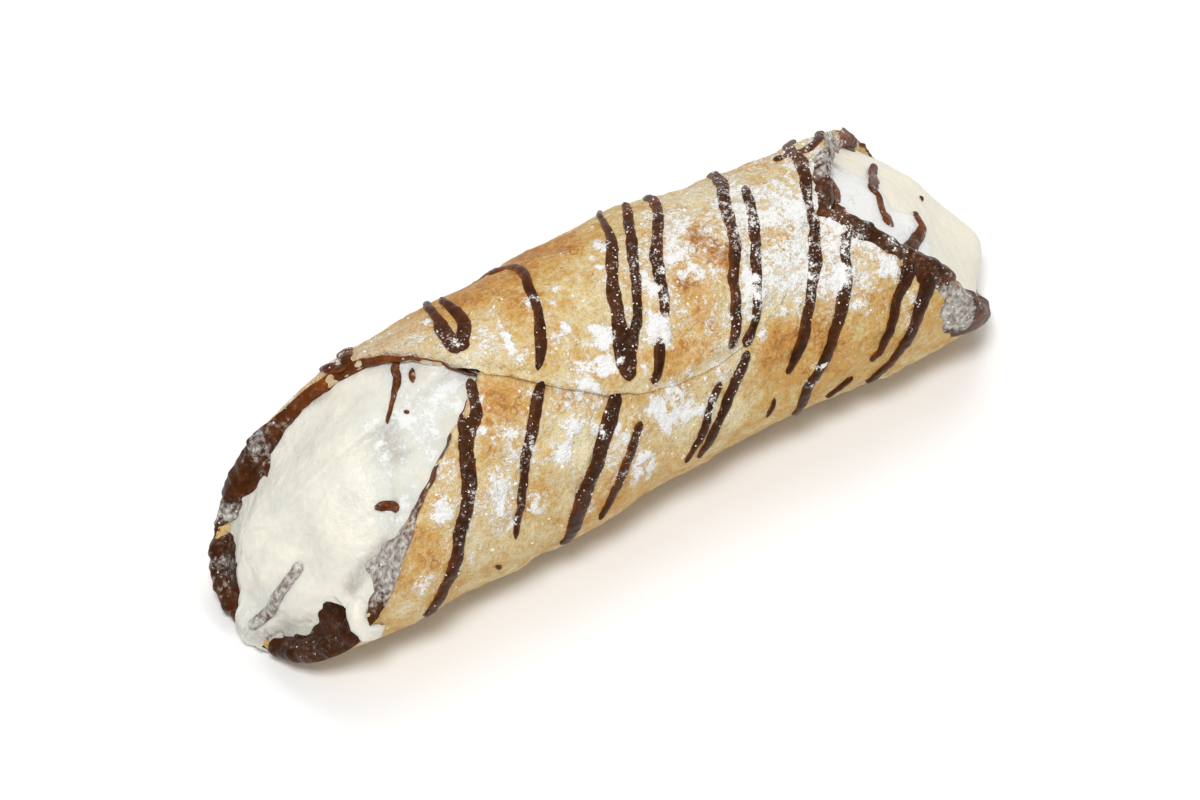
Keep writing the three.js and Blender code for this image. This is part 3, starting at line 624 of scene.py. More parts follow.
def makePastry():
    rows, columns, every = sheet["rows"], sheet["columns"], sheet["insideEvery"]
    span = np.linspace(-1, 1, rows + 1)
    long = np.sign(span) * (1 - (1 - np.abs(span)) ** 1.3)
    wrap = np.where(long < 0, long * flaps[-1]["wrap"], long * flaps[1]["wrap"]) * 0.998
    low, high = edgeX(left, wrap), edgeX(right, wrap)
    across = np.linspace(0, 1, columns + 1)
    xs = low[:, None] + (high - low)[:, None] * across
    ws = np.repeat(wrap[:, None], columns + 1, axis=1)
    outside = sheetPoint(xs, ws, 0.0)
    inXs, inWs = xs[::every, ::every], ws[::every, ::every]
    inside = sheetPoint(inXs, inWs, 1.0)
    # The edge runs up the left side, along the outer tip, down the right side and along the inner tip.
    loop = [(r, 0) for r in range(rows)] + [(rows, c) for c in range(columns)]
    loop += [(r, columns) for r in range(rows, 0, -1)] + [(0, c) for c in range(columns, 0, -1)]
    loopRows, loopColumns = np.array(loop).T
    edge = np.stack([xs[loopRows, loopColumns], ws[loopRows, loopColumns] * mmPerDegree], -1)
    along = np.roll(edge, -1, axis=0) - np.roll(edge, 1, axis=0)
    out = np.stack([-along[:, 1], along[:, 0]], -1)
    for _ in range(6):
        out = (np.roll(out, 1, axis=0) + out + np.roll(out, -1, axis=0)) / 3
    out /= np.linalg.norm(out, axis=1, keepdims=True)
    nosePoints, noseUv = [], []
    swell = 1 + 0.45 * lumpy(np.column_stack([edge, 0 * edge[:, 0]]), 1.8, 86, 3)
    phis = np.linspace(0, math.pi, 8)[1:-1]
    for phi in phis:
        place = edge + out * (sheet["nose"] * math.sin(phi) * swell)[:, None]
        nosePoints.append(sheetPoint(place[:, 0], place[:, 1] / mmPerDegree, (1 - math.cos(phi)) / 2))
        noseUv.append(edge + out * phi * 0.8)
    total = (rows + 1) * (columns + 1)
    outIndex = np.arange(total).reshape(rows + 1, columns + 1)
    nose = [total + k * len(loop) + np.arange(len(loop)) for k in range(len(phis))]
    total += len(phis) * len(loop)
    inIndex = total + np.arange(inXs.size).reshape(inXs.shape)
    ring = [outIndex[loopRows, loopColumns]] + nose
    faces = quadsOf(outIndex)[:, ::-1].tolist()
    for first, second in zip(ring, ring[1:]):
        faces += ringQuads(first, second)[:, ::-1].tolist()
    inLoop = [(r, 0) for r in range(0, rows, every)] + [(rows, c) for c in range(0, columns, every)]
    inLoop += [(r, columns) for r in range(rows, 0, -every)] + [(0, c) for c in range(columns, 0, -every)]
    inLoop = [int(inIndex[r // every, c // every]) for r, c in inLoop]
    fine = ring[-1].tolist() + [int(ring[-1][0])]
    faces += bridged(inLoop + [inLoop[0]], fine)
    insideFrom = len(faces)
    faces += quadsOf(inIndex).tolist()
    points = np.concatenate([outside.reshape(-1, 3), *nosePoints, inside.reshape(-1, 3)])
    made = meshObject("pastryShell", points, [[int(v) for v in face] for face in faces], finishes["pastry"])
    # One unrolled island for the outside and the cut edge, and a smaller one for the inside.
    flat = [np.stack([xs, ws * mmPerDegree], -1).reshape(-1, 2), *noseUv]
    flatIn = np.stack([inXs, inWs * mmPerDegree], -1).reshape(-1, 2)
    lowEnd, highEnd = edgeX(left, 0.0) - 5, edgeX(right, 0.0) + 5
    lowWrap, highWrap = -flaps[-1]["wrap"] * mmPerDegree - 5, flaps[1]["wrap"] * mmPerDegree + 5
    scale = np.array([0.8 / (highEnd - lowEnd), 1 / (highWrap - lowWrap)])
    shared = np.concatenate([*flat, flatIn])
    outUv = (shared - [lowEnd, lowWrap]) * scale
    inUv = outUv * [0.22, 0.95] + [0.81, 0.02]
    mesh = made.data
    corners = np.empty(len(mesh.loops), int)
    mesh.loops.foreach_get("vertex_index", corners)
    starts = np.empty(len(mesh.polygons), int)
    mesh.polygons.foreach_get("loop_start", starts)
    uv = outUv[corners]
    firstInside = starts[insideFrom]
    uv[firstInside:] = inUv[corners[firstInside:]]
    setUv(mesh, uv)
    x, angle = unrolled(points)
    wrapOf = np.concatenate([ws.ravel(), *[edge[:, 1] / mmPerDegree] * len(phis), inWs.ravel()])
    isOut = np.arange(len(points)) < total
    setField(mesh, "sugar", np.where(isOut, sugarDepth(x, angle), 0))
    # toast, with painted shade browning the crevice under the seam's lip
    setField(mesh, "toastAndSeamShade", np.where(isOut, toastWithSeamShade(x, angle, wrapOf), -0.2))
    glazed = bell(x + 37, 6) * bell(turned(angle + 18), 20) + 0.6 * bell(x + 47, 5) * bell(turned(angle + 42), 16)
    setField(mesh, "glaze", np.where(isOut, np.clip(glazed * (1 + 0.4 * lumpy(points, 3, 85, 2)), 0, 1), 0))
    return made


print("rolling the pastry")
pastryShell = makePastry()


# Drizzled strands: waypoints over the sheet and full widths at them

strands = [
    [(-39.4, -31, 2.4), (-38.2, -40, 2.6), (-37.2, -49, 2.8), (-36.6, -60, 2.0)],
    [(-41.2, -35, 2.6), (-40.8, -42, 2.6), (-41.2, -52, 1.8)],
    [(-39.4, -32, 2.2), (-40.4, -33, 2.4), (-41.4, -34, 2.4)],
    [(-20.8, -62, 1.0), (-22.2, -46, 1.1), (-24, -33, 1.4), (-24.9, -20, 1.8), (-25.9, -10, 2.4), (-26.3, -2, 2.9),
     (-26.5, 4.5, 2.4)],
    [(-21.4, -33, 1.1), (-22.2, -22, 1.7), (-22.3, -13, 2.1), (-23.0, -5, 2.4), (-24.8, 0, 2.8), (-26.0, 4.5, 2.6)],
    [(-26.9, 15.5, 1.2), (-27.4, 20, 1.7), (-28.2, 26, 1.8), (-29.2, 32, 2.1), (-32.4, 40, 2.9), (-35, 58, 2.6),
     (-38.6, 74, 2.5), (-41.6, 92, 2.7), (-45.5, 112, 2.6)],
    [(-31, 28, 1.0), (-31.6, 32, 1.5), (-32.2, 38, 1.8)],
    [(-13, -60, 1.4), (-10.6, -38, 1.5), (-9.4, -22, 1.8), (-10.8, -8, 1.6), (-12.6, 5, 1.5), (-15.2, 18, 2.1),
     (-17.6, 27, 1.1)],
    [(-17.4, 31, 1.3), (-20.4, 40, 2.0), (-24.6, 57, 1.7), (-27.6, 73, 1.5), (-29.8, 90, 1.0)],
    [(11, -52, 0.9), (8.6, -38, 1.0), (5.4, -14, 1.8), (1, 5, 2.1), (-2, 21, 2.5), (-3.4, 32, 3.6), (-5.4, 47, 2.6)],
    [(-7, 51, 1.8), (-8.6, 55, 2.8), (-12, 66, 2.9), (-15.4, 79, 2.9), (-18.2, 93, 3.0), (-19.6, 118, 2.8)],
    [(12.8, -36, 1.3), (10, -20, 1.9), (6.8, -4, 1.7), (3.6, 12, 1.7), (1.0, 24, 1.5), (-1.8, 33, 1.9),
     (-3.2, 38, 1.8)],
    [(19.6, -64, 1.5), (17.4, -40, 1.6), (15.8, -24, 1.9), (12.4, -7, 1.9), (8.8, 6, 2.1), (6.2, 20, 2.1),
     (4.4, 31, 1.7)],
    [(2.2, 37, 1.9), (0.6, 44, 1.9), (-1.8, 53, 1.6)],
    [(-5, 67, 1.4), (-8.4, 78, 1.9), (-11.4, 92, 1.9), (-14.2, 108, 1.3)],
    [(32, -66, 2.0), (29.2, -38, 2.0), (27.4, -22, 2.1), (23.8, -3, 2.3), (21, 16, 2.2), (18.0, 27, 2.0),
     (16.2, 36, 1.9), (14.6, 46, 1.9), (12.2, 55, 1.4)],
    [(29.4, -12, 1.2), (28, -2, 1.9), (25.6, 12, 2.1), (22.6, 26, 1.9), (20.2, 38, 1.8), (18.6, 47, 1.7),
     (17, 52, 1.7), (14.8, 58, 1.7)],
    [(15.2, 60, 1.6), (12.6, 69, 2.0), (9.4, 82, 2.1), (6.4, 94, 2.0), (4.6, 106, 1.3)],
    [(9.4, 68, 1.3), (7.4, 76, 1.6), (4.8, 88, 1.5), (2, 103, 1.2)],
    [(47, -64, 1.8), (43.4, -44, 1.8), (41, -25, 2.0), (39.8, -12, 2.4), (38, 0, 2.2), (35.4, 14, 1.6),
     (34.5, 22, 1.9), (33, 30, 2.1), (30.9, 40, 2.1), (28.6, 50, 2.0), (26.2, 61, 2.1), (23.8, 72, 2.0),
     (21.2, 81, 1.4)],
    [(39.8, 29, 1.8), (37.2, 38, 1.9), (35.6, 48, 2.0), (33, 60, 2.4), (30, 72, 2.4), (27, 85, 2.4),
     (24.6, 97, 2.4), (23.6, 116, 2.0)],
    [(46, 58, 3.0), (44, 65, 2.4), (42.0, 71, 2.1), (39.4, 83, 2.1), (36.2, 97, 1.5)],
    [(48.6, 66, 3.6), (46.6, 76, 2.9), (43.2, 90, 2.6), (40, 104, 2.3), (37.4, 118, 2.0)],
    [(37.4, -25, 1.5), (40.2, -23, 2.2), (43, -21, 2.0), (46.0, -27, 1.8), (48.4, -38, 1.8), (49.4, -46, 1.3)],
    [(33.5, 104, 1.6), (31.6, 109, 2.0), (29.4, 114, 1.4)],
    [(18.8, 92, 0.7), (18.2, 98, 0.9), (17.6, 104, 0.5)],
    [(-33, 103, 0.8), (-32, 108, 1.2)],
]
behind = {"count": 8, "first": -44, "pitch": 11.5, "low": -70, "high": -138, "lean": 9, "width": 2.1}
drizzle = {"step": 0.32, "height": 0.42, "sides": 14, "ragged": 0.45, "slim": 0.95, "bridge": 9,
           "taper": (0.05, 0.9, 0.02), "thinBelow": 0.5}
for n in range(behind["count"]):  # the same drizzle down the back, which ends before the floor
    x0 = behind["first"] + n * behind["pitch"] + 3 * strewn(n, "jitter")
    last = behind["high"] + 34 * strewn(n, "depth")
    lean = behind["lean"] * (0.5 + strewn(n, "along"))
    width = behind["width"] * (0.8 + 0.4 * strewn(n, "size"))
    middle = (behind["low"] + last) / 2
    strands.append([(x0, behind["low"], width * 0.8), (x0 - lean * 0.35, middle, width),
                    (x0 - lean, last, width * 0.7)])


def spline(a, b, c, d, share):  # Catmull-Rom, from b to c
    square, cube = 2 * a - 5 * b + 4 * c - d, 3 * b - a - 3 * c + d
    return 0.5 * (2 * b + (c - a) * share + square * share**2 + cube * share**3)


def smoothPath(waypoints, step):  # through [x, angle, more...], in even steps over the sheet
    given = np.array(waypoints, float)
    padded = np.vstack([2 * given[0] - given[1], given, 2 * given[-1] - given[-2]])
    share = np.linspace(0, 1, 24, endpoint=False)[:, None]
    runs = [spline(*four, share) for four in zip(padded, padded[1:], padded[2:], padded[3:])]
    path = np.vstack([*runs, given[-1:]])
    flat = path[:, :2] * [1, mmPerDegree]
    travelled = np.concatenate([[0], np.cumsum(np.linalg.norm(np.diff(flat, axis=0), axis=1))])
    steps = np.linspace(0, travelled[-1], max(int(travelled[-1] / step), 3) + 1)
    return np.stack([np.interp(steps, travelled, path[:, k]) for k in range(path.shape[1])], -1), steps


def tapered(travelled, start, reach, least):  # rounds off both ends of a path
    toEnd = np.minimum(travelled, travelled[-1] - travelled)
    return np.sqrt(np.clip((toEnd + start) / reach, least, 1))


def geometryTree(name, sockets):
    tree = bpy.data.node_groups.new(name, "GeometryNodeTree")
    for label, kind in sockets.items():
        tree.interface.new_socket(name=label, in_out="INPUT", socket_type="NodeSocket" + kind)
    tree.interface.new_socket(name="Geometry", in_out="OUTPUT", socket_type="NodeSocketGeometry")
    return tree, addNode(tree, "NodeGroupInput").outputs


def grown(name, source, tree, settings):  # runs a node tree on a mesh and keeps the result as a plain mesh
    seedObject = bpy.data.objects.new(name + "Seed", source)
    bpy.context.scene.collection.objects.link(seedObject)
    modifier = seedObject.modifiers.new(name, "NODES")
    modifier.node_group = tree
    for item in tree.interface.items_tree:
        if item.item_type == "SOCKET" and item.in_out == "INPUT" and item.name in settings:
            modifier[item.identifier] = settings[item.name]
    depsgraph = bpy.context.evaluated_depsgraph_get()
    mesh = bpy.data.meshes.new_from_object(seedObject.evaluated_get(depsgraph), depsgraph=depsgraph)
    seedObject.modifiers.remove(modifier)
    bpy.data.objects.remove(seedObject)
    mesh.name = name
    made = bpy.data.objects.new(name, mesh)
    bpy.context.scene.collection.objects.link(made)
    return made


# A tube along each path, pressed towards the surface that it lies on, with a slightly ragged skin.
def strandTree():
    tree, given = geometryTree("chocolateStrand", {
        "Geometry": "Geometry", "Height": "Float", "Sides": "Int", "Ragged": "Float", "Finish": "Material"})
    curve = addNode(tree, "GeometryNodeMeshToCurve", {0: given["Geometry"]})
    half = addNode(tree, "GeometryNodeInputNamedAttribute", {"Name": "half"}, data_type="FLOAT").outputs["Attribute"]
    centre = addNode(tree, "GeometryNodeInputPosition")
    kept = addNode(tree, "GeometryNodeStoreNamedAttribute", {
        "Geometry": curve.outputs[0], "Name": "centre", "Value": centre.outputs[0]},
        data_type="FLOAT_VECTOR", domain="POINT")
    profile = addNode(tree, "GeometryNodeCurvePrimitiveCircle", {
        "Resolution": given["Sides"], "Radius": 1.0}, mode="RADIUS")
    tube = addNode(tree, "GeometryNodeCurveToMesh", {
        "Curve": kept.outputs[0], "Profile Curve": profile.outputs[0], "Scale": half, "Fill Caps": True})
    out, middle = [
        addNode(tree, "GeometryNodeInputNamedAttribute", {"Name": name}, data_type="FLOAT_VECTOR").outputs[0]
        for name in ("outward", "centre")]
    place = addNode(tree, "GeometryNodeInputPosition").outputs[0]
    off = addNode(tree, "ShaderNodeVectorMath", (place, middle), operation="SUBTRACT").outputs[0]
    above = addNode(tree, "ShaderNodeVectorMath", (off, out), operation="DOT_PRODUCT").outputs["Value"]
    # What stands above the path is pressed down where the strand is wider than it is high.
    flatness = addNode(tree, "ShaderNodeMath", (given["Height"], half), operation="DIVIDE")
    flatness = addNode(tree, "ShaderNodeMath", (flatness.outputs[0], 1.0), operation="MINIMUM")
    press = addNode(tree, "ShaderNodeMath", (flatness.outputs[0], 1.0), operation="SUBTRACT")
    press = addNode(tree, "ShaderNodeMath", (press.outputs[0], above), operation="MULTIPLY")
    pressed = addNode(tree, "ShaderNodeVectorMath", {0: out, "Scale": press.outputs[0]}, operation="SCALE")
    noise = addNode(tree, "ShaderNodeTexNoise", {"Vector": place, "Scale": 700.0, "Detail": 3.0})
    swing = addNode(tree, "ShaderNodeMath", (noise.outputs[0], 0.5), operation="SUBTRACT")
    swing = addNode(tree, "ShaderNodeMath", (swing.outputs[0], given["Ragged"]), operation="MULTIPLY")
    ragged = addNode(tree, "ShaderNodeVectorMath", {0: off, "Scale": swing.outputs[0]}, operation="SCALE")
    shift = addNode(tree, "ShaderNodeVectorMath", (pressed.outputs[0], ragged.outputs[0]), operation="ADD").outputs[0]
    moved = addNode(tree, "GeometryNodeSetPosition", {"Geometry": tube.outputs[0], "Offset": shift})
    smooth = addNode(tree, "GeometryNodeSetShadeSmooth", {"Geometry": moved.outputs[0]})
    real = addNode(tree, "GeometryNodeRealizeInstances", {0: smooth.outputs[0]})
    dressed = addNode(tree, "GeometryNodeSetMaterial", {"Geometry": real.outputs[0], "Material": given["Finish"]})
    addNode(tree, "NodeGroupOutput", {0: dressed.outputs[0]})
    return tree


def pathMesh(name, runs):  # runs of points, outward directions and half widths, in millimetres
    mesh = bpy.data.meshes.new(name)
    points, edges = [], []
    for run in runs:
        first = len(points)
        points += (run["points"] * mm).tolist()
        edges += [(first + k, first + k + 1) for k in range(len(run["points"]) - 1)]
    mesh.from_pydata(points, edges, [])
    setField(mesh, "half", np.concatenate([run["half"] for run in runs]) * mm)
    outward = mesh.attributes.new("outward", "FLOAT_VECTOR", "POINT")
    outward.data.foreach_set("vector", np.concatenate([run["outward"] for run in runs]).ravel())
    return mesh


def strandRun(n, waypoints):
    path, travelled = smoothPath(waypoints, drizzle["step"])
    x, angle = path[:, 0], path[:, 1]
    wander = at(x, angle, sheet["radius"]) + 40 * n
    x = x + 0.16 * lumpy(wander, 3, 101, 2)
    half = path[:, 2] / 2 * drizzle["slim"] * (1 + 0.16 * lumpy(wander, 2.6, 111, 3))
    half = half * tapered(travelled, *drizzle["taper"])
    face = outerFace(x, angle)
    many = drizzle["bridge"]  # it sags over the step at the seam and doesn't break there
    face = np.maximum(face, np.convolve(np.pad(face, many // 2, mode="edge"), np.ones(many) / many, "valid"))
    return {"points": at(x, angle, face + 0.1), "outward": outwardAt(angle), "half": half}


print("drizzling the chocolate")
chocolateStrand = strandTree()


def piped(name, runs, shape, finish):
    return grown(name, pathMesh(name + "Paths", runs), chocolateStrand, {
        "Height": shape["height"] * mm, "Sides": shape["sides"], "Ragged": shape["ragged"],
        "Finish": finishes[finish]})


drizzled = piped("chocolateDrizzle", [strandRun(n, strand) for n, strand in enumerate(strands)], drizzle, "drizzle")
drizzlePoints = pointsOf(drizzled.data)
drizzleX, drizzleAngle = unrolled(drizzlePoints)
setField(drizzled.data, "sugar", sugarDepth(drizzleX, drizzleAngle))
rise = fromAxis(drizzlePoints) - outerFace(drizzleX, drizzleAngle)
thin = 0.36 * (1 - eased(rise, 0.05, drizzle["thinBelow"])) + 0.16 * eased(-drizzleAngle, -25, 40)
setField(drizzled.data, "thin", thin + 0.1 * lumpy(drizzlePoints, 5, 108, 2))
setField(drizzled.data, "melted", np.zeros(len(drizzlePoints)))


# Chocolate on the mouths: how far it reaches into the tube, how thick it is, and how far it laps over the outside

rims = {
    left: [(-139, 3.4, 0.9, 1.0), (-134.5, 1.0, -0.2, 0.0), (-131, 1.0, -0.2, 0.0), (-127, 3.8, 1.0, 0.9),
           (-98, 5.2, 1.1, 0.8), (-62, 3.4, 0.8, 0.1), (-30, 2.6, 0.5, 0.1), (-6, 1.4, 0.1, 0.0),
           (26, 1.4, 0.1, 0.0), (58, 2.0, 0.6, 0.3), (68, 2.4, 0.8, 0.7), (82, 2.4, 0.8, 0.7), (100, 3.0, 0.8, 0.4),
           (116, 6.5, 1.5, 2.4), (128, 6.0, 1.1, 2.8), (140, 4.5, 0.7, 2.8), (151, 3.0, 0.5, 1.8),
           (160, 2.0, 0.2, 0.0), (176, 2.0, 0.2, 0.0), (-176, 3.6, 0.9, 0.4), (-158, 3.6, 0.9, 0.6)],
    right: [(-140, 4.0, 0.7, 0.0), (-116, 3.0, 0.5, 0.0), (-108, 2.0, -0.3, 0.0), (-97, 2.0, -0.3, 0.0),
            (-88, 4.0, 0.9, 0.6), (-75, 4.0, 0.8, 0.2), (-34, 4.0, 0.8, 0.2), (-20, 3.0, 0.8, 1.0),
            (-9, 2.6, 0.8, 2.6), (6, 2.4, 0.8, 2.4), (20, 2.5, 0.8, 2.4), (34, 2.5, 0.9, 3.6), (48, 2.5, 0.9, 2.8),
            (58, 2.5, 0.9, 3.0), (68, 2.5, 0.9, 4.2), (80, 2.6, 0.9, 3.4), (100, 3.0, 0.9, 7.0),
            (124, 3.0, 0.9, 4.0), (142, 2.0, 0.2, 0.0)],
}
rim = {"steps": 480, "nose": 0.6, "outsideThick": 0.5, "between": 3, "smearRows": 9, "smearThick": 0.42}
noseCover = {  # how boldly the chocolate caps the cut edge, 1 in full and under 0.5 where the crust shows through
    left: [(-160, 1), (-138.5, 1), (-135, 0.0), (-131, 0.0), (-127.5, 1), (-90, 1), (-62, 1), (-40, 0.9),
           (-14, 0.8), (-4, 0.0), (24, 0.0), (34, 0.6), (50, 0.8), (66, 0.85), (88, 1), (97, 0.7), (108, 1),
           (135, 1), (152, 1), (159, 0.1), (175, 0.1), (-176, 0.9)],
    right: [(-140, 0.8), (-114, 0.5), (-108, 0.0), (-97, 0.0), (-88, 0.7), (-74, 0.4), (-62, 0.6), (-50, 0.4),
            (-30, 0.7), (-8, 0.8), (20, 1), (60, 1), (73, 1), (77, 0.15), (86, 0.15), (91, 1), (124, 1), (140, 0.1),
            (170, 0.3)],
}
smears = {  # how far the chocolate runs in over the cream from the wall, in millimetres
    left: [(-25, 0), (-37, 1.7), (-45, 0.7), (-56, 0.2), (-64, 0.2), (-78, 0.9), (-90, 2.7), (-101, 2.2),
           (-114, 0.8), (-127, 0.8), (-133, 0.0), (-139, 1.2), (-148, 3.0), (-158, 4.0), (-166, 2.6), (-173, 0.4),
           (165, 0), (150, 0.1), (143, 0.5), (136, 0.5), (127, 1.6), (119, 3.6), (111, 3.5), (104, 0.6), (95, 0.8),
           (90, 2.9), (82, 4.0), (76, 3.0), (70, 1.8), (61, 1.1), (50, 0.6), (35, 0.3), (10, 0.1)],
    right: [(-112, 0.3), (-102, 0.0), (-94, 0.4), (-84, 1.0), (-76, 0.3), (-64, 0.9), (-50, 0.2), (-37, 0.9),
            (-20, 0.5), (-12, 1.0), (15, 1.1), (34, 1.4), (48, 0.8), (66, 1.0), (78, 0.5), (100, 0.9), (130, 0.5),
            (180, 0.4)],
}
overflow = {  # where the cream swells over the cut edge, 1 being right over it
    left: [(-110, 0), (-90, 0.15), (-62, 0.35), (-36, 0.3), (-22, 0.2), (4, 0.1), (30, 0.15), (52, 0.2), (66, 0.1),
           (84, 0), (92, 0.5), (97, 0.9), (102, 0.9), (107, 0.15), (116, 0), (150, 0), (156, 0.6), (161, 1.2),
           (168, 1.3), (175, 1.2), (-178, 0.5), (-172, 0)],
    right: [(-150, 0), (-120, 0.1), (-60, 0), (60, 0), (84, 0.2), (100, 0.45), (118, 0.4), (140, 0.2), (160, 0)],
}


def roundStops(stops, angle):  # eased from stop to stop, all the way round
    stops = sorted(stops)
    angle = turned(np.asarray(angle, float))
    value = np.zeros(angle.shape)
    for here, (a0, low) in enumerate(stops):
        a1, high = stops[(here + 1) % len(stops)]
        span, past = (a1 - a0) % 360, (angle - a0) % 360
        value = np.where(past < span, low + (high - low) * eased(past, 0, span), value)
    return value


def rimSizes(side, angle):
    return [roundStops([(stop[0], stop[k]) for stop in rims[side]], angle) for k in (1, 2, 3)]


def throat(side, x, angle):  # the radius that the cream fills, a little into the chocolate round it
    inTube = np.clip(x, mouthX(left, angle) + 1, mouthX(right, angle) - 1)
    return innerFace(inTube, angle) - rimSizes(side, angle)[1] + 0.15


def roundMouth(side, angle):  # places for noise round a mouth
    return at(np.full(np.shape(angle), 60.0 * side), angle, sheet["radius"])


def makeRim(side, name):
    angle = sheet["keel"] + 360 * np.arange(rim["steps"]) / rim["steps"]
    inside, thick, outside = rimSizes(side, angle)
    ringPlaces = roundMouth(side, angle)
    inside = inside * (1 + 0.22 * lumpy(ringPlaces, 5, 121, 3)) + 0.3
    smooth = outside
    outside = np.where(outside > 0.05, outside * (1 + 0.35 * lumpy(ringPlaces, 3.5, 131, 3)), outside)
    swell = 1 + (0.25 - 0.17 * eased(smooth, 1, 3)) * lumpy(ringPlaces, 3, 141, 2)
    edge = mouthX(side, angle) + side * sheet["nose"]
    hugs = np.clip(outside / rim["outsideThick"], 0, 1)
    skin = rim["outsideThick"] * (1 + 0.6 * eased(smooth, 3.5, 6)) * (1 + 0.4 * (swell - 1))

    def wallX(depth):
        return edge - side * np.maximum(depth, sheet["nose"] + 0.2)

    def within(depth):
        return innerFace(wallX(depth), angle) + 0.1

    def without(depth):
        low = within(depth) + sheet["wall"] / 2
        return low + (outerFace(wallX(depth), angle) - 0.1 - low) * hugs

    leg = -0.4 + (outside + 0.4) * hugs
    belly = -0.4 + (smooth + 0.4) * hugs
    cover = roundStops(noseCover[side], angle)
    cover = cover + 0.2 * lumpy(ringPlaces, 2.2, 145, 2) * (1 - eased(cover, 0.85, 1))
    tip = 0.1 - (0.25 + rim["nose"] * swell) * cover
    half = (within(0 * angle) + without(0 * angle) - thick) / 2
    cage = [
        (inside, within(inside)),
        (inside * 0.95, within(inside * 0.95) - thick * swell * 0.55),
        (inside * 0.62, within(inside * 0.62) - thick * swell),
        (inside * 0.2, within(inside * 0.2) - thick * swell * 0.9),
        (tip, half - thick * 0.3),
        (tip * 0.9, half + sheet["wall"] * 0.35 * hugs),
        (tip + np.minimum((leg - tip) * 0.35, 0.8), without(0 * angle) + skin * hugs),
        (tip + np.clip((belly - tip) * 0.62, (leg - tip) * 0.4, (leg - tip) * 0.8),
         without(belly * 0.6) + skin * hugs),
        (leg, without(leg) + 0.02),
        (leg * 0.5, without(leg) - 0.3),
        (0.1 + 0 * angle, without(0 * angle) - 0.3),
        (0.1 + 0 * angle, within(0 * angle) + 0.3),
        (inside * 0.5, within(inside * 0.5) + 0.2),
    ]
    depths = np.stack([c[0] for c in cage], -1)
    radii = np.stack([c[1] for c in cage], -1)
    # A smooth closed section through the cage.
    shares = np.linspace(0, 1, rim["between"], endpoint=False)
    profile = []
    for k in range(len(cage)):
        four = [np.stack([depths[:, (k + j) % len(cage)], radii[:, (k + j) % len(cage)]], -1) for j in (-1, 0, 1, 2)]
        profile += [spline(*four, share) for share in shares]
    profile = np.stack(profile, 1)
    points = at(edge[:, None] - side * profile[..., 0], angle[:, None], profile[..., 1])
    points = points + 0.1 * lumpy(points, 1.6, 151, 2)[..., None] * np.array([side, 0, 0])
    # The part that runs in over the cream: out along its top, back underneath.
    smear = roundStops(smears[side], angle)
    lap = smear * (1 + 0.3 * lumpy(ringPlaces, 3.0, 146, 2)) + 0.2 * lumpy(ringPlaces, 1.7, 147, 2)
    lap = np.maximum(lap, 0.05)
    wall = throat(side, mouthX(side, angle) - side, angle)
    tops, unders = [], []
    for share in np.linspace(0, 1, rim["smearRows"]):
        inTo = 1 - share * lap / wall
        swelling = rim["smearThick"] * eased(lap, 0.1, 0.9) * (1 - share**3)
        swelling = swelling - 0.25 * (1 - eased(lap, 0.1, 0.6)) - 0.1 * share
        swelling = swelling + 1.5 * (1 - share) ** 2 * eased(smear, 1.2, 3.2)
        over = (0.5 + 1.6 * eased(smear, 1.2, 3.2)) * (1 - share) ** 3
        x = creamX(side, inTo, angle)
        tops.append(at(x + side * swelling, angle, inTo * wall + over))
        unders.append(at(x - side * 0.5, angle, inTo * wall + over))
    smeared = np.stack(tops + unders[::-1], 1)

    allPoints, allFaces, allUv = [], [], []
    for part, low in ((points, 0.0), (smeared, 0.55)):
        steps, count = part.shape[:2]
        first = sum(len(p) for p in allPoints)
        index = first + np.arange(steps * count).reshape(steps, count)
        faces = ringQuads(index, np.roll(index, -1, axis=0))
        stepOf, columnOf = np.divmod(np.arange(steps * count), count)
        uv = np.stack([np.stack([(stepOf + ds) / steps, low + 0.43 * (columnOf + dc) / count], -1)
                       for ds, dc in cornerSteps], 1)
        if side == left:
            faces, uv = faces[:, ::-1], uv[:, ::-1]
        allPoints.append(part.reshape(-1, 3))
        allFaces.append(faces)
        allUv.append(uv.reshape(-1, 2))
    flat = np.concatenate(allPoints)
    flat[:, 2] = np.maximum(flat[:, 2], 0.02)
    made = meshObject(name, flat, np.concatenate(allFaces).tolist(), finishes["rim"])
    setUv(made.data, np.concatenate(allUv))
    x, a = unrolled(flat)
    return made, x, a


# Cream: one filling from mouth to mouth. Its lumps stand at places across (to the front) and up from the axis.

